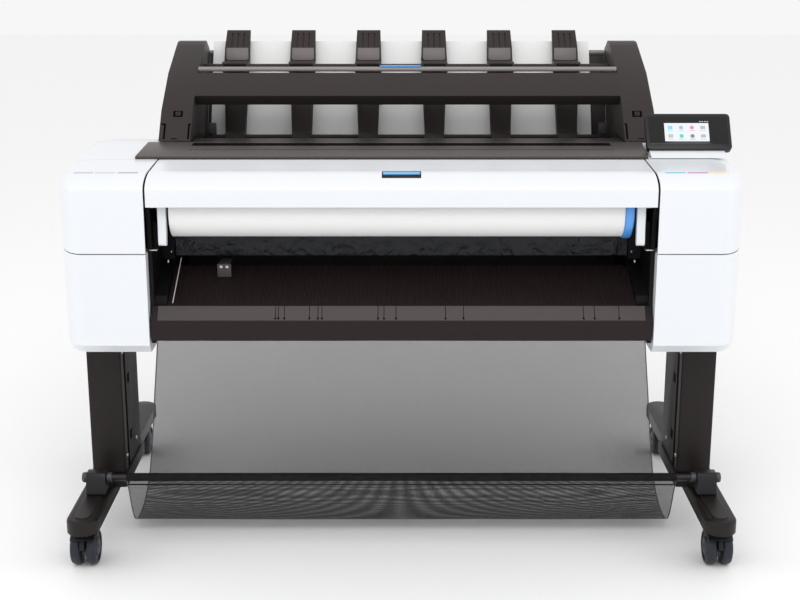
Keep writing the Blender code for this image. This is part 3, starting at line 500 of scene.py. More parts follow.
def tape_over(start, end, low, high, lift=0.0005):
    """A strip of tape lying on the cloth between two lengths and two places across."""
    between = [point for point, reach in zip(path, lengths) if start < reach < end]
    rows = [on_cloth(start)] + between + [on_cloth(end)]
    line = [(face + y, z) for y, z in rows]
    bm, far = skin(line, low, high, max(1, ceil((high - low) / 0.03)))
    bmesh.ops.recalc_face_normals(bm, faces=bm.faces)
    bmesh.ops.solidify(bm, geom=bm.faces, thickness=lift)
    return bm


sleeves = gathered(tape_over(0.0, hang_start + 0.001, -half_cloth, half_cloth),
                   tape_over(hang_end - 0.001, lengths[-1], -half_cloth, half_cloth))
sleeve_tapes = show("basket_bar_sleeves", sleeves, hem_tape, "root", "basket_mesh", smooth=60.0)
grey_tape = surface("grey_edge_binding", (0.16, 0.16, 0.16), 0.7, shift=0.12, grain=0.0007,
                    depth=0.0001, gleam=0.2)
edge_tapes = gathered(tape_over(hang_start, hang_end, -half_cloth - 0.0004, -half_cloth + 0.0022),
                      tape_over(hang_start, hang_end, half_cloth - 0.0022, half_cloth + 0.0004))
hems = show("basket_edge_bindings", edge_tapes, grey_tape, "root", "basket_mesh", smooth=60.0)
seams = gathered(tape_over(hang_start + 0.012, hang_start + 0.017, -half_cloth, half_cloth),
                 tape_over(hang_end - 0.017, hang_end - 0.012, -half_cloth, half_cloth))
seam_tapes = show("basket_sleeve_seams", seams, hem_tape, "root", "basket_mesh", smooth=60.0)


# ---- Chassis ------------------------------------------------------------------------
# A zinc plated tray closes the body from below, and a black moulded plate at each end of the
# bay carries the roll, the print engine and two screws, with a painted highlight along its ledge.

zinc = surface("zinc_plate", (0.42, 0.42, 0.41), 0.38, metallic=1.0, shift=0.08, grain=0.002)
bay_black = surface("bay_black", (0.0045, 0.0042, 0.0048), 0.48, shift=0.1, grain=0.0006,
                    wear=0.2, gleam=0.12)
dressed("base_pan", zinc, "root", "steel", 0.0004)
for side, sign in (("left", -1), ("right", 1)):
    dressed(f"{side}_side_frame", bay_black, "root", "black_plastic", 0.0010, 3)
    wall = sign * 0.4762
    # A bright steel strip along the plate's ledge: a painted highlight.
    ledge_highlight_strip = brick((min(sign * 0.4905, sign * 0.5075), face + 0.022, 0.6425),
                       (max(sign * 0.4905, sign * 0.5075), face + 0.040, 0.6450))
    bits = gathered(ledge_highlight_strip, screw((wall, face + 0.060, 0.612), "X", 0.0040, -sign),
                    screw((wall, face + 0.105, 0.622), "X", 0.0030, -sign))
    show(f"{side}_side_frame_screws_and_ledge_highlight", bits, bright_steel, "root", "steel")


# ---- Side housings ------------------------------------------------------------------
# Thick white mouldings, satin and very slightly blue, with large rounded outer corners: a
# lower box and a top behind each ink cover, screwed to the chassis from behind.

white_skin = surface("white_satin_moulding", (0.765, 0.785, 0.82), 0.30, coat=0.2, shift=0.004,
                     grain=0.0030, depth=0.000006)
nose_depth, nose_base, nose_rise = 0.075, 0.767, 0.030
cover_back, cover_back_z = 0.181, 0.8015
rise = (cover_back_z - nose_base - nose_rise) / (cover_back - nose_depth)
bay_side, outer_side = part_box("right_lower_housing")[0][0], model_box[1][0]


def nose(low=0.0, high=90.0, steps=24, lift=0.0):
    """Points of the rounded nose, by its turn in degrees, lifted off it or sunk in."""
    turns = [radians(low + (high - low) * i / steps) for i in range(steps + 1)]
    return [(nose_depth - (nose_depth + lift) * cos(t), nose_base + (nose_rise + lift) * sin(t))
            for t in turns]


def rising_top(start, end, steps=4, lift=0.0):
    """Points of the gently rising top between two depths."""
    depths = [start + (end - start) * i / steps for i in range(steps + 1)]
    return [(y, nose_base + nose_rise + rise * (y - nose_depth) + lift) for y in depths]


def deep(outline):
    """An outline counted from the housings' fronts, set in its place."""
    return [(face + y, z) for y, z in outline]


def corner_rounded(bm):
    """Carry the outer front and top corners of a right-hand housing over in a soft curve."""
    for turn in range(28):
        cut_across(bm, outer_side - 0.060 + 0.060 * sin(pi / 2 * turn / 28), (1, 0, 0))
    for v in bm.verts:
        reach = min(1.0, max(0.0, (v.co.x - outer_side + 0.060) / 0.060))
        fall = 1 - sqrt(1 - reach * reach)
        v.co.y += 0.150 * fall * max(0.0, 1 - (v.co.y - face) / cover_back)
        v.co.z -= 0.024 * fall * min(1.0, max(0.0, v.co.z - 0.70) / 0.06)
    return bm


def handed(side, bm):
    """A right-hand piece, or its twin for the left."""
    if side == "left":
        bmesh.ops.scale(bm, verts=bm.verts, vec=(-1, 1, 1))
        bmesh.ops.reverse_faces(bm, faces=bm.faces)
    return bm


low_box = [(0.020, 0.431), (0.0, 0.450), (0.0, 0.639), (0.455, 0.639), (0.455, 0.445),
           (0.435, 0.431)]
high_box = [(0.1825, 0.640)] + rising_top(0.1825, 0.40)
high_box += [(0.425, 0.8085), (0.437, 0.8030), (0.445, 0.795), (0.452, 0.783), (0.455, 0.772),
             (0.455, 0.640)]
housing_screws = [(0.525, 0.452), (0.680, 0.452), (0.525, 0.625), (0.680, 0.625), (0.525, 0.760),
                  (0.680, 0.740)]
for side in ("left", "right"):
    for part, outline in (("lower", low_box), ("upper", high_box)):
        bm = handed(side, corner_rounded(prism(deep(outline), bay_side, outer_side)))
        housing = show(f"{side}_{part}_housing_shell", bm, white_skin, "root", "white_plastic",
                       f"{side}_{part}_housing", smooth=28)
        softened(housing, 0.0014, 4, 28)
    heads = [screw((x, face + 0.4552, z), "Y", 0.0036) for x, z in housing_screws]
    show(f"{side}_housing_screws", handed(side, gathered(*heads)), bright_steel, "root", "steel")


# ---- Ink bays, cartridges and covers -----------------------------------------------
# Three cartridges stand side by side between the fins of a black tray at each end. The white
# nose-shaped cover over them hinges up along its rear top edge, and carries a coloured dash
# for each cartridge.

cartridge_skin = surface("cartridge_grey", (0.16, 0.155, 0.15), 0.42, shift=0.05)
dash_colours = {"left": [("grey", (0.50, 0.51, 0.53)), ("pale_grey", (0.58, 0.59, 0.61)),
                         ("dark_grey", (0.40, 0.41, 0.43))],
                "right": [("cyan", (0.16, 0.52, 0.78)), ("magenta", (0.56, 0.22, 0.46)),
                          ("yellow", (0.84, 0.76, 0.30))]}
inks = {}


def ink(colour, rgb):
    """The pigmented plastic of one colour's dash and cartridge label."""
    if colour not in inks:
        inks[colour] = surface(f"{colour}_ink_mark", rgb, 0.4, shift=0.02)
    return inks[colour]


def walled(piece, thickness):
    """Give a thin surface its wall, inwards."""
    wall = piece.modifiers.new("wall", "SOLIDIFY")
    wall.thickness = thickness
    wall.offset = -1.0
    wall.use_even_offset = True
    return piece


cover_line = deep([(0.0, 0.6408)] + nose() + rising_top(nose_depth, cover_back)[1:])
for side in ("left", "right"):
    sign = -1 if side == "left" else 1
    cover = f"{side}_ink_cover"
    dressed(f"{side}_ink_bay", bay_black, "root", "black_plastic", 0.0004)
    bm, far = skin(cover_line, bay_side, outer_side)
    foot_corner = bm.verts.new((outer_side, face + cover_back, 0.6408))
    ends = [v for v in {v for e in far for v in e.verts} if len([e for e in v.link_edges
                                                                  if e in far]) == 1]
    closing = [bm.edges.new((v, foot_corner)) for v in ends]
    bmesh.ops.edgeloop_fill(bm, edges=far + closing)
    bmesh.ops.recalc_face_normals(bm, faces=bm.faces)
    if sum(f.normal.z * f.calc_area() for f in bm.faces) < 0:
        bmesh.ops.reverse_faces(bm, faces=bm.faces)
    bm = handed(side, corner_rounded(bm))
    lid = show(f"{side}_ink_cover_shell", bm, white_skin, cover, "white_plastic", cover, smooth=28)
    softened(walled(lid, 0.003), 0.0010, 3, 40)
    order = ("first", "second", "third")
    for i, (place, (colour, rgb)) in enumerate(zip(order, dash_colours[side])):
        x = 0.5480 + 0.0450 * (i if side == "right" else 2 - i)
        mark = nose(70, 76, 3, 0.0002) + nose(70, 76, 3, -0.0003)[::-1]
        dash = handed(side, corner_rounded(prism(deep(mark), x - 0.0202, x + 0.0202)))
        show(f"{side}_{colour}_dash", dash, ink(colour, rgb), cover, "grey_plastic")
        cartridge = f"{side}_{place}_cartridge"
        dressed(cartridge, cartridge_skin, "root", "grey_plastic", 0.0005)
        low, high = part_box(cartridge)
        label = brick((low[0] + 0.005, low[1] - 0.0003, low[2] + 0.012),
                      (high[0] - 0.005, low[1] + 0.0004, high[2] - 0.030), 0.0002)
        show(f"{side}_{place}_cartridge_label", label, ink(colour, rgb), "root", "grey_plastic")


# ---- Print engine -------------------------------------------------------------------
# The black platen, the rubber feed roller, a folded steel rail and the print head carriage
# that runs along it from its parking place at the right.

feed_rubber = surface("feed_rubber", (0.02, 0.02, 0.022), 0.7, shift=0.1)
dressed("platen", bay_black, "root", "black_plastic", 0.0005)
dressed("feed_roller", feed_rubber, "feed_roller", "wheel_rubber", 0.0004)
dressed("carriage_rail", zinc, "root", "steel", 0.0004)
dressed("carriage", bay_black, "carriage", "black_plastic", 0.0015, 3)


# ---- Output ramp and lip ------------------------------------------------------------
# A sloping brown moulding with fine ribs that let the cut sheets slide, ending in a
# bevelled beam across the front of the bay. A small screwed tab and a thin stay stand on it.

brown_skin = surface("warm_dark_moulding", (0.031, 0.0235, 0.0232), 0.42, shift=0.08,
                     grain=0.0008, depth=0.00006, wear=0.12, gleam=0.22)
ramp_skin = surface("ribbed_ramp_moulding", (0.018, 0.0115, 0.011), 0.45, shift=0.12,
                    grain=0.0008, depth=0.00006, gleam=0.25)
# Flat black laid over slots and dark lines: painted shade in place of their depth.
painted_shade_black = surface("painted_shade_black", (0.002, 0.002, 0.002), 0.7, gleam=0.02)
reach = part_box("output_ramp")[1][0]
slope = (0.5830 - 0.5290) / (0.150 - 0.026)
comb = [(-reach, -0.027), (-reach, -0.0022)]
pitch = 0.0052
for rib in range(int(2 * reach / pitch) - 2):
    x = -reach + pitch * (rib + 1.5)
    comb += [(x - 0.0014, -0.0022), (x - 0.0008, 0.0), (x + 0.0008, 0.0), (x + 0.0014, -0.0022)]
comb += [(reach, -0.0022), (reach, -0.027)]
ramp_bm = prism(comb, face + 0.026, face + 0.150, "Y")
for v in ramp_bm.verts:
    v.co.z += 0.5290 + slope * (v.co.y - face - 0.026)
show("output_ramp_ribbed", ramp_bm, ramp_skin, "root", "brown_plastic", "output_ramp", smooth=20)
low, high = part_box("ramp_lip")
lip = deep([(0.004, 0.459), (0.004, 0.500), (0.0250, 0.5285), (0.0250, 0.459)])
# The beam takes a darker copy of the brown moulding: painted shade on its front.
lip_shaded_skin = surface("lip_painted_shade_moulding", (0.021, 0.0150, 0.0150), 0.42, grain=0.0008, depth=0.00006,
                   gleam=0.12)
show("ramp_lip_beam", prism(lip, low[0], high[0], "X", 0.0016, 3), lip_shaded_skin, "root",
     "brown_plastic", "ramp_lip")
run_y, run_z = 0.0210 / 0.0354, 0.0285 / 0.0354


def on_facet(x0, x1, start, end, lift=0.0001):
    """A shallow strip up the lip's bevel, between two lengths."""
    low_end = (0.004 + run_y * start - 0.8 * lift, 0.500 + run_z * start + 0.6 * lift)
    high_end = (0.004 + run_y * end - 0.8 * lift, 0.500 + run_z * end + 0.6 * lift)
    outline = [low_end, high_end, (high_end[0] + 0.0004, high_end[1] - 0.0003),
               (low_end[0] + 0.0004, low_end[1] - 0.0003)]
    return prism(deep(outline), x0, x1)


# A paler copy of the brown moulding laid over the lip's upward bevel: painted highlight where the
# light falls.
bevel_highlight_skin = surface("lip_bevel_painted_highlight", (0.056, 0.045, 0.044), 0.40, grain=0.0008, depth=0.00006,
                     gleam=0.25)
show("ramp_lip_bevel_highlight", on_facet(low[0] + 0.0140, high[0] - 0.0140, 0.0022, 0.0335), bevel_highlight_skin,
     "root", "brown_plastic")
# Thin black strips up the bevel paint its dark lines as shade.
marks = []
for x in (-0.2554, -0.2493, -0.2372, -0.1865, -0.1693, -0.1612, -0.0476, -0.0355, -0.0111, 0.0892,
          0.1257, 0.3689, 0.3912, 0.4409):
    marks.append(on_facet(x - 0.0006, x + 0.0006, 0.0075, 0.0335, 0.0003))
    marks.append(on_facet(x - 0.0020, x + 0.0020, 0.0045, 0.0085, 0.0003))
show("ramp_lip_painted_dark_lines", gathered(*marks), painted_shade_black, "root", "brown_plastic")

tab = gathered(brick((-0.383, face + 0.1080, 0.5665), (-0.354, face + 0.1105, 0.5945), 0.0008),
               brick((-0.380, face + 0.1090, 0.5925), (-0.357, face + 0.1640, 0.5943), 0.0004))
show("ramp_tab", tab, surface("grey_steel_tab", (0.060, 0.052, 0.050), 0.5, gleam=0.3), "root",
     "steel")
tab_screws = gathered(*[screw((x, face + 0.1080, 0.5885), "Y", 0.0036, -1)
                        for x in (-0.3745, -0.3625)])
show("ramp_tab_screws", tab_screws, bright_steel, "root", "steel")


def stay(start, end, radius):
    """A straight wire between two points, with rounded ends."""
    start, end = Vector(start), Vector(end)
    length = (end - start).length
    profile = [(0.0, 0.0), (0.0, radius * 0.7), (radius * 0.4, radius)]
    profile += [(length - a, r) for a, r in profile[::-1]]
    bm = lathe(profile, (0, 0, 0), "X", 24)
    turn = Vector((1, 0, 0)).rotation_difference(end - start).to_matrix().to_4x4()
    bmesh.ops.transform(bm, matrix=Matrix.Translation(start) @ turn, verts=bm.verts)
    return bm


wire = stay((-0.4560, face + 0.1050, 0.6090), (-0.4655, face + 0.0290, 0.5320), 0.0012)
show("ramp_stay_wire", wire, surface("pale_wire", (0.62, 0.61, 0.60), 0.3, metallic=0.7), "root",
     "steel")


# ---- Roll guide ---------------------------------------------------------------------
# A thin blue-black guide, faced with glossy film that lies a little unevenly, curves behind
# and under the roll.

film = surface("crinkled_black_film", (0.007, 0.008, 0.013), 0.22, shift=0.3, gleam=0.3)
crinkles = wired(film, "ShaderNodeTexNoise", Scale=42.0, Detail=5.0, Distortion=1.2,
                 Vector=film.node_tree.nodes["Texture Coordinate"].outputs["Object"])
creased = wired(film, "ShaderNodeBump", Height=crinkles.outputs["Fac"], Strength=1.0,
                Distance=0.0045)
film.node_tree.links.new(creased.outputs["Normal"],
                         film.node_tree.nodes["Principled BSDF"].inputs["Normal"])
dressed("roll_shield", film, "root", "black_plastic", 0.0004)


# ---- Roll, spindle and levers -------------------------------------------------------
# The coated paper is wound on a card core and sits on a black spindle between a fixed stop
# and a blue sliding one; a white lever locks each end down.

paper_white = surface("coated_paper", (0.86, 0.86, 0.855), 0.55, shift=0.01, grain=0.0015,
                      depth=0.00001)
stop_blue = surface("bright_blue_moulding", (0.085, 0.33, 0.80), 0.30, coat=0.3, shift=0.03)
low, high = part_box("paper_roll")
roll_y, roll_z = (low[1] + high[1]) / 2, (low[2] + high[2]) / 2
windings = [(0.0, 0.0257)]
for turn in range(24):
    radius = 0.0262 + 0.00138 * turn
    windings += [(0.00018, radius), (0.0, radius + 0.0007)]
windings += [(0.0, 0.0596), (0.0004, 0.0600)]
roll_profile = [(low[0] + a, r) for a, r in windings]
roll_profile += [(high[0] - a, r) for a, r in windings[::-1]] + [(low[0], 0.0257)]
show("paper_roll_wound", lathe(roll_profile, (0, roll_y, roll_z), steps=144), paper_white, "roll",
     "paper", "paper_roll")
start = low[0] - 0.0004
hub = [(-0.5095, 0.0), (-0.5095, 0.0095), (-0.5070, 0.012), (start - 0.0205, 0.012),
       (start - 0.0205, 0.031), (start - 0.0198, 0.032), (start - 0.0165, 0.0372),
       (start - 0.0150, 0.0384), (start - 0.0008, 0.0395), (start, 0.0388), (start, 0.0253),
       (start + 0.045, 0.0248), (start + 0.060, 0.012), (0.5070, 0.012), (0.5095, 0.0095),
       (0.5095, 0.0)]
show("spindle_turned", lathe(hub, (0, roll_y, roll_z)), bay_black, "roll", "black_plastic",
     "spindle")
dressed("roll_stop", stop_blue, "roll", "blue_plastic", 0.0008, 3)
for side, sign in (("left", -1), ("right", 1)):
    lever = f"{side}_spindle_lever"
    dressed(lever, white_skin, lever, "white_plastic", 0.0012, 3)


# ---- Front cover and its grip -------------------------------------------------------
# The long white lid over the roll has the same nose as the ink covers, a thin rib at each
# end, and a dark pocket with a light blue grip bar in its middle.

low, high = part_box("front_cover")
cover_line = deep([(0.0, 0.7352), (0.0, 0.7500)] + nose() + rising_top(nose_depth, cover_back)[1:])
bm, far = skin(cover_line, low[0] + 0.0006, high[0] - 0.0006)
pocket_low, pocket_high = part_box("cover_handle")
for x in (pocket_low[0] - 0.0004, pocket_high[0] + 0.0004):
    cut_across(bm, x, (1, 0, 0))
for y in (pocket_low[1] - 0.0004, pocket_high[1] + 0.0004):
    cut_across(bm, y, (0, 1, 0))
opening = [f for f in bm.faces
           if pocket_low[0] - 0.0004 < f.calc_center_median().x < pocket_high[0] + 0.0004
           and pocket_low[1] - 0.0004 < f.calc_center_median().y < pocket_high[1] + 0.0004]
bmesh.ops.delete(bm, geom=opening, context="FACES")
bmesh.ops.recalc_face_normals(bm, faces=bm.faces)
if sum(f.normal.z * f.calc_area() for f in bm.faces) < 0:
    bmesh.ops.reverse_faces(bm, faces=bm.faces)
lid = show("front_cover_shell", bm, white_skin, "front_cover", "white_plastic", "front_cover",
           smooth=28)
softened(walled(lid, 0.003), 0.0009, 3, 40)
rib = nose(8, 90, 16, -0.0028) + rising_top(nose_depth, 0.177, 3, -0.0028)[1:]
rib += [(0.175, 0.7925), (0.060, 0.783)]
ribs = [prism(deep(rib), x, x + 0.0022, "X", 0.0003) for x in (low[0] + 0.0006, high[0] - 0.0028)]
show("front_cover_ribs", gathered(*ribs), white_skin, "front_cover", "white_plastic")

pocket = prism(deep([(0.0264, 0.7885), (0.0264, 0.7780), (0.0721, 0.7830), (0.0721, 0.7955)]),
               pocket_low[0], pocket_high[0])
mouth = max(pocket.faces, key=lambda f: f.normal.z)
bmesh.ops.inset_region(pocket, faces=[mouth], thickness=0.0013, depth=0.0)
bmesh.ops.translate(pocket, verts=mouth.verts, vec=(0, 0, -0.0088))
well = show("cover_handle_pocket", pocket, surface("pocket_grey_brown", (0.085, 0.075, 0.072), 0.5),
            "front_cover", "grey_plastic", "cover_handle")
softened(well, 0.0004, 2)
grip_blue = surface("light_blue_grip", (0.17, 0.50, 0.90), 0.32, coat=0.2, shift=0.02)
grip = prism(deep([(0.0520, 0.7913), (0.0645, 0.7928), (0.0645, 0.7958), (0.0520, 0.7946)]),
             -0.0372, 0.0372, "X", 0.0010, 3)
show("cover_grip_bar", grip, grip_blue, "front_cover", "blue_plastic")


# ---- Top panel and rear cover -------------------------------------------------------
# Brown mouldings close the print engine above and behind; stacker sheets come up through a
# long slot in the top one, shown as painted black shade. Black plates close the rear cover's ends.

panel_brown = surface("top_panel_brown", (0.056, 0.044, 0.042), 0.36, shift=0.06, grain=0.0008,
                      depth=0.00005, gleam=0.35)
panel_bm = prism(deep([(0.1830, 0.8020), (0.1830, 0.8065), (0.1865, 0.8080), (0.3450, 0.8140),
                       (0.3450, 0.8089)]), -0.5570, 0.5240)
for v in panel_bm.verts:
    if v.co.x > 0:
        v.co.x += 0.0130 * ((v.co.y - face - 0.1830) / 0.1620 - 0.6)
high_top = 0.8080 + 0.0060 * (0.2600 - 0.1865) / 0.1585
panel = show("top_panel_moulding", panel_bm, panel_brown, "root", "brown_plastic", "top_panel")
softened(panel, 0.0009, 3)
# Black strips laid along the top's slot: painted shade in place of its depth.
top_slot_shade = gathered(prism(deep([(0.2560, high_top - 0.0004), (0.2576, high_top + 0.0003),
                              (0.2592, high_top - 0.0002)]), -0.4560, 0.4560),
                  prism(deep([(0.3000, 0.8120), (0.3000, 0.8126), (0.3300, 0.8138),
                              (0.3300, 0.8132)]), -0.4550, 0.4550))
show("top_panel_slot_painted_shade", top_slot_shade, painted_shade_black, "root", "brown_plastic")
dressed("rear_cover", brown_skin, "root", "brown_plastic", 0.0010, 3)
heads = [screw((x, face + 0.5003, z), "Y", 0.0036) for x in (-0.47, -0.16, 0.16, 0.47)
         for z in (0.625, 0.745)]
show("rear_cover_screws", gathered(*heads), bright_steel, "root", "steel")
shell = [(0.3480, 0.8075), (0.4400, 0.8075), (0.4775, 0.7946), (0.4995, 0.7600), (0.4995, 0.6000),
         (0.4895, 0.5600), (0.4775, 0.4525), (0.3480, 0.4525)]
cheeks = [prism(deep(shell), x, x + 0.0014) for x in (-0.5012, 0.4998)]
show("rear_cover_ends", gathered(*cheeks), bay_black, "root", "black_plastic")


# ---- Stacker ------------------------------------------------------------------------
# Two hollow leaning cheeks and a crossbar in one moulding, a back tray, and six grooved
# arms clamped to two rods, which hold the finished sheets upright.

cheek = deep([(0.362, 0.8140), (0.418, 0.8745), (0.520, 0.9465), (0.640, 0.9980), (0.662, 1.0065),
              (0.690, 1.0065), (0.735, 0.9850), (0.752, 0.9550), (0.745, 0.9000), (0.690, 0.7450),
              (0.660, 0.7150), (0.503, 0.7000), (0.503, 0.8118), (0.362, 0.8118)])
bar = deep([(0.520, 0.9465), (0.457, 0.9020), (0.475, 0.8790), (0.500, 0.8850), (0.548, 0.9250),
            (0.546, 0.9445)])
low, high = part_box("stacker_frame")
window_low, window_high = -0.467, 0.495
parts = [prism(bar, window_low - 0.004, window_high + 0.004, "X", 0.0020, 4)]
for inner, outer in ((window_low, low[0]), (window_high, high[0])):
    side = prism(cheek, inner, outer)
    for v in side.verts:
        if abs(v.co.x - outer) < 0.000001:
            v.co.x -= (outer - 0.014) * 0.09 * max(0.0, v.co.z - 0.90)
    rim = [e for e in side.edges if all(abs(v.co.x - outer) < 0.012 for v in e.verts)
           and max(v.co.z for v in e.verts) > 0.82]
    rim_rounded(side, rim, 0.0085, 6)
    mouth = [e for e in side.edges if all(abs(v.co.x - inner) < 0.0001 for v in e.verts)
             and e.calc_face_angle(0.0) > 1.0]
    rim_rounded(side, mouth, 0.0016)
    parts.append(side)
show("stacker_cheeks_and_crossbar", gathered(*parts), brown_skin, "root", "brown_plastic",
     "stacker_frame", smooth=28)
dressed("stacker_back", brown_skin, "root", "brown_plastic", 0.0008)
arms = tidied("stacker_arms")
for v in arms.verts:
    middle = (round(v.co.x / 0.158 - 0.5) + 0.5) * 0.158
    if v.co.z < 0.920 and abs(v.co.x - middle) < 0.0345:
        v.co.x = middle + (v.co.x - middle) * 0.74
arm_piece = show("stacker_arms_narrowed", arms, brown_skin, "root", "brown_plastic", "stacker_arms")
softened(arm_piece, 0.0007, 2)
rod_grey = surface("warm_grey_rod", (0.24, 0.215, 0.205), 0.30, coat=0.2, shift=0.05)
low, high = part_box("stacker_front_rod")
for name, y, z, radius in (("stacker_front_rod_turned", 0.5330, 0.9540, 0.0055),
                           ("stacker_rear_rod", 0.7430, 0.9735, 0.0064)):
    rod = [(low[0], 0.0), (low[0], radius), (high[0], radius), (high[0], 0.0)]
    nodes = ["stacker_front_rod"] if "front" in name else []
    show(name, lathe(rod, (0, face + y, z), steps=48), rod_grey, "root", "grey_plastic", *nodes)
# Each arm's front facet gets a thin paler plate of the brown moulding: a painted highlight.
facets, clamps, feet = [], [], []
tilt = atan2(0.010, 0.030)
for i in range(6):
    x = (i - 2.5) * 0.158
    facet = prism([(-0.0268, 0.004), (-0.0225, 0.0), (0.0225, 0.0), (0.0268, 0.004),
                   (0.0262, 0.0300), (-0.0262, 0.0300)], -0.0009, 0.0004, "Y", 0.0003)
    turn = Matrix.Translation((x, face + 0.6900, 0.9600)) @ Matrix.Rotation(-tilt, 4, "X")
    bmesh.ops.transform(facet, matrix=turn, verts=facet.verts)
    facets.append(facet)
    clamps.append(brick((x - 0.0270, face + 0.6270, 0.9440), (x + 0.0270, face + 0.6500, 0.9572),
                        0.0020, 3))
    feet.append(brick((x - 0.0265, face + 0.5780, 0.7725), (x + 0.0265, face + 0.5960, 0.7850),
                      0.0020, 3))
show("arm_facet_painted_highlights", gathered(*facets), surface("arm_facet_painted_highlight_brown", (0.135, 0.118, 0.112), 0.36),
     "root", "brown_plastic")
show("arm_rod_clamps", gathered(*clamps), bay_black, "root", "black_plastic")
show("arm_foot_clamps", gathered(*feet), bay_black, "root", "black_plastic")
accent = brick((-0.0490, face + 0.5290, 0.9592), (0.0450, face + 0.5375, 0.9628), 0.0006)
show("stacker_blue_accent", accent, stop_blue, "root", "blue_plastic")
dressed("stacked_sheet", paper_white, "root", "paper", 0.0002)

climb_y, climb_z = 0.056 / 0.08244, 0.0605 / 0.08244
slot_shades, buttons = [], []


def up_the_cheek(start, end, lift_y, lift_z, thick):
    """The section of a strip lying up a cheek's front, between two lengths."""
    a = (0.362 + climb_y * start - lift_y, 0.814 + climb_z * start + lift_z)
    b = (0.362 + climb_y * end - lift_y, 0.814 + climb_z * end + lift_z)
    return deep([a, b, (b[0] + thick, b[1] - thick), (a[0] + thick, a[1] - thick)])


# The cheeks' slots and the outline round each latch are thin black strips of painted shade.
for inner, sign in ((window_low, -1), (window_high, 1)):
    for x0, x1, start, end in ((0.0035, 0.0075, 0.004, 0.046), (0.0018, 0.0075, 0.042, 0.046),
                               (0.0570, 0.0610, 0.004, 0.046), (0.0570, 0.0675, 0.042, 0.046),
                               (0.0300, 0.0430, 0.004, 0.0062)):
        left, right = sorted((inner + sign * x0, inner + sign * x1))
        slot_shades.append(prism(up_the_cheek(start, end, 0.0003, 0.0002, 0.001), left, right))
    left = inner + (sign * 0.0320 - 0.0110)
    for x0, x1, start, end, lift in ((0.0, 0.0215, 0.0640, 0.0800, 0.0004),
                                     (0.0050, 0.0170, 0.0665, 0.0775, 0.0009)):
        section = up_the_cheek(start, end, lift, lift, 0.002)
        catch = prism(section, left + x0, left + x1, "X", 0.0003)
        (slot_shades if x0 == 0.0 else buttons).append(catch)
    x = inner - sign * 0.028
    buttons.append(brick((x - 0.013, face + 0.4990, 0.7900), (x + 0.013, face + 0.5020, 0.8350)))
    buttons.append(screw((x, face + 0.4990, 0.8110), "Y", 0.0052, -1))
show("stacker_cheek_slot_shades", gathered(*slot_shades), painted_shade_black, "root", "brown_plastic")
show("stacker_latches", gathered(*buttons), fork_nylon, "root", "black_plastic")


# ---- Control panel ------------------------------------------------------------------
# A black tablet with a glass front tilts on a hinge that stands on a white wedge. Its lit
# screen shows eight plain coloured icons in two rows.

dressed("control_panel_base", white_skin, "root", "white_plastic", 0.0010, 3)
lug_y, lug_z = face + 0.252, 0.832
caps = [lathe([(x, 0.0), (x, 0.0066), (x + 0.0006, 0.0072), (x + 0.0135, 0.0072),
               (x + 0.0141, 0.0066), (x + 0.0141, 0.0)], (0, lug_y, lug_z), steps=48)
        for x in (0.5472, 0.6392)]
show("panel_hinge_caps", gathered(*caps), fork_nylon, "root", "black_plastic")

tablet_black = surface("satin_black_tablet", (0.010, 0.0085, 0.0088), 0.30, shift=0.08, gleam=0.4)
glass_black = surface("black_screen_glass", (0.0020, 0.0020, 0.0028), 0.06, shift=0.1, depth=0.0,
                      gleam=0.4)
left_edge, right_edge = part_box("control_panel")[0][0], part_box("control_panel")[1][0]
base_y, base_z = face + 0.2135, 0.8175
lean = atan2(0.0500, 0.0695)
panel_turn = (Matrix.Translation(((left_edge + right_edge) / 2, base_y, base_z))
              @ Matrix.Rotation(-lean, 4, "X"))
panel_width, panel_height = right_edge - left_edge, 0.0856


def round_plate(x0, x1, z0, z1, radius, front, back, soft=0.0004):
    """A plate with rounded corners, upright, from its front to its back."""
    outline = []
    for cx, cz, first in ((x1 - radius, z1 - radius, 0), (x0 + radius, z1 - radius, 90),
                          (x0 + radius, z0 + radius, 180), (x1 - radius, z0 + radius, 270)):
        turns = [radians(first + 15 * i) for i in range(7)]
        outline += [(cx + radius * cos(t), cz + radius * sin(t)) for t in turns]
    bm = prism(outline, front, back, "Y")
    if soft:
        rim = [e for e in bm.edges if abs(e.verts[0].co.y - front) < 1e-6
               and abs(e.verts[1].co.y - front) < 1e-6]
        rim_rounded(bm, rim, soft)
    return bm


def on_panel(bm):
    """Lean a plate back on to the tablet's front."""
    bmesh.ops.transform(bm, matrix=panel_turn, verts=bm.verts)
    return bm


half = panel_width / 2
tablet = on_panel(round_plate(-half, half, 0.0, panel_height, 0.0085, 0.0, 0.0150, 0.0022))
knuckle = lathe([(0.5615, 0.0056), (0.5615, 0.0090), (0.5622, 0.0095), (0.6388, 0.0095),
                 (0.6395, 0.0090), (0.6395, 0.0056), (0.5615, 0.0056)], (0, lug_y, lug_z), steps=48)
show("control_tablet", gathered(tablet, knuckle), tablet_black, "control_panel", "screen_glass",
     "control_panel")
glass = on_panel(round_plate(-half + 0.0065, half - 0.0065, 0.0125, panel_height - 0.0080, 0.0030,
                             -0.0006, 0.0010, 0.0003))
show("control_glass", glass, glass_black, "control_panel", "screen_glass")


def lit(name, rgb, strength):
    """A patch of the screen, shining softly through the glass."""
    made = surface(name, rgb, 0.25, coat=1.0, shift=0.02, depth=0.0)
    shader = made.node_tree.nodes["Principled BSDF"]
    shader.inputs["Emission Color"].default_value = (*rgb, 1.0)
    shader.inputs["Emission Strength"].default_value = strength
    return made


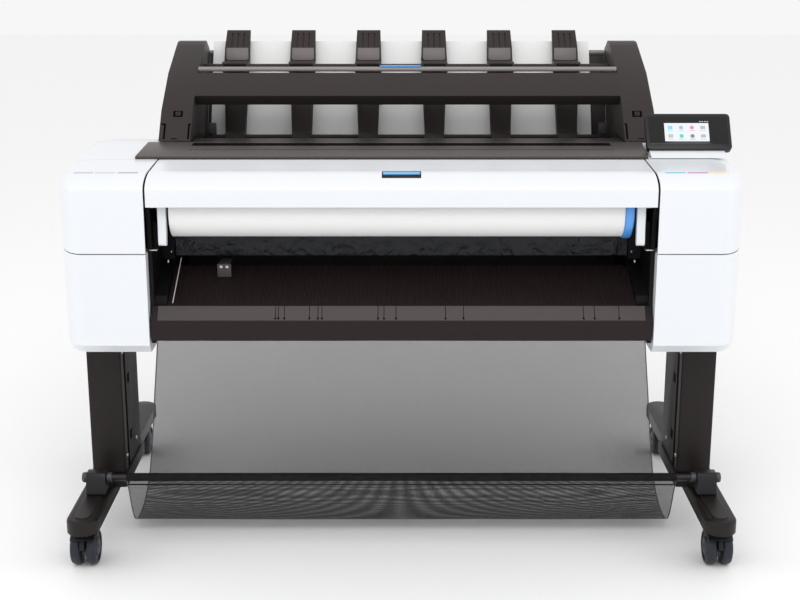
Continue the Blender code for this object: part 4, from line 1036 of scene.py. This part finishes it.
screen_low, screen_high = (-0.0510, 0.0190), (0.0430, 0.0620)
screen = on_panel(round_plate(screen_low[0], screen_high[0], screen_low[1], screen_high[1],
                              0.0008, -0.0009, -0.0004, 0.0))
show("control_screen", screen, lit("pale_screen", (0.62, 0.64, 0.66), 0.22), "control_panel",
     "screen_glass")
icon_colours = [("cyan", (0.10, 0.52, 0.66)), ("slate", (0.28, 0.40, 0.48)),
                ("rose", (0.62, 0.20, 0.28)), ("ash", (0.36, 0.37, 0.38)),
                ("ash", (0.36, 0.37, 0.38)), ("teal", (0.03, 0.50, 0.47)),
                ("graphite", (0.16, 0.17, 0.18)), ("ash", (0.36, 0.37, 0.38))]
inlay = (-0.0011, -0.0008, 0.0)        # an icon's front, back and edge rounding
icon_finish = {name: lit(f"{name}_icon", rgb, 0.15) for name, rgb in icon_colours}
for i, (name, rgb) in enumerate(icon_colours):
    x = screen_low[0] + 0.0125 + 0.0230 * (i % 4)
    z = screen_high[1] - 0.0105 - 0.0200 * (i // 4)
    if i % 4 == 3:
        parts = [round_plate(x - 0.0052, x + 0.0052, z - 0.0036, z + 0.0036, 0.0008, *inlay)]
    elif i in (0, 4):
        parts = [round_plate(x + a, x + b, z - 0.0040, z + 0.0040, 0.0005, *inlay)
                 for a, b in ((-0.0045, -0.0005), (0.0005, 0.0045))]
    else:
        disc = [(-0.0011, 0.0), (-0.0011, 0.0044), (-0.0008, 0.0044), (-0.0008, 0.0)]
        parts = [lathe(disc, (x, 0, z), "Y", 32)]
    parts.append(round_plate(x - 0.0058, x + 0.0058, z - 0.0078, z - 0.0070, 0.0002, *inlay))
    show(f"screen_icon_{i + 1}", on_panel(gathered(*parts)), icon_finish[name], "control_panel",
         "screen_glass")
status = gathered(*[round_plate(x, x + 0.0035, 0.0645, 0.0668, 0.0006, -0.0009, -0.0004, 0.0)
                    for x in (0.0240, 0.0290, 0.0345, 0.0395)])
show("screen_status_icons", on_panel(status), icon_finish["ash"], "control_panel", "screen_glass")


# ---- Mains inlet and switch ---------------------------------------------------------
# A black socket with three plated pins beside a rocker switch, low on the back of the
# right housing.

dressed("power_inlet", bay_black, "root", "black_plastic", 0.0004)
dressed("power_switch", bay_black, "power_switch", "black_plastic", 0.0004)
plate_low, plate_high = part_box("power_inlet")
heads = [screw((x, plate_low[1] + 0.0042, z), "Y", 0.0022)
         for x in (plate_low[0] + 0.0035, plate_high[0] - 0.0028)
         for z in (plate_low[2] + 0.0035, plate_high[2] - 0.0035)]
pins = [brick((x - 0.0008, plate_low[1] + 0.0040, z - 0.0018),
              (x + 0.0008, plate_low[1] + 0.0125, z + 0.0018), 0.0003)
        for x, z in ((0.6165, 0.513), (0.6230, 0.517), (0.6295, 0.513))]
show("power_inlet_pins", gathered(*pins, *heads), bright_steel, "root", "steel")
dot = brick((0.5690, face + 0.4665, 0.5225), (0.5710, face + 0.4695, 0.5245), 0.0003)
show("power_switch_mark", dot, white_skin, "power_switch", "white_plastic")
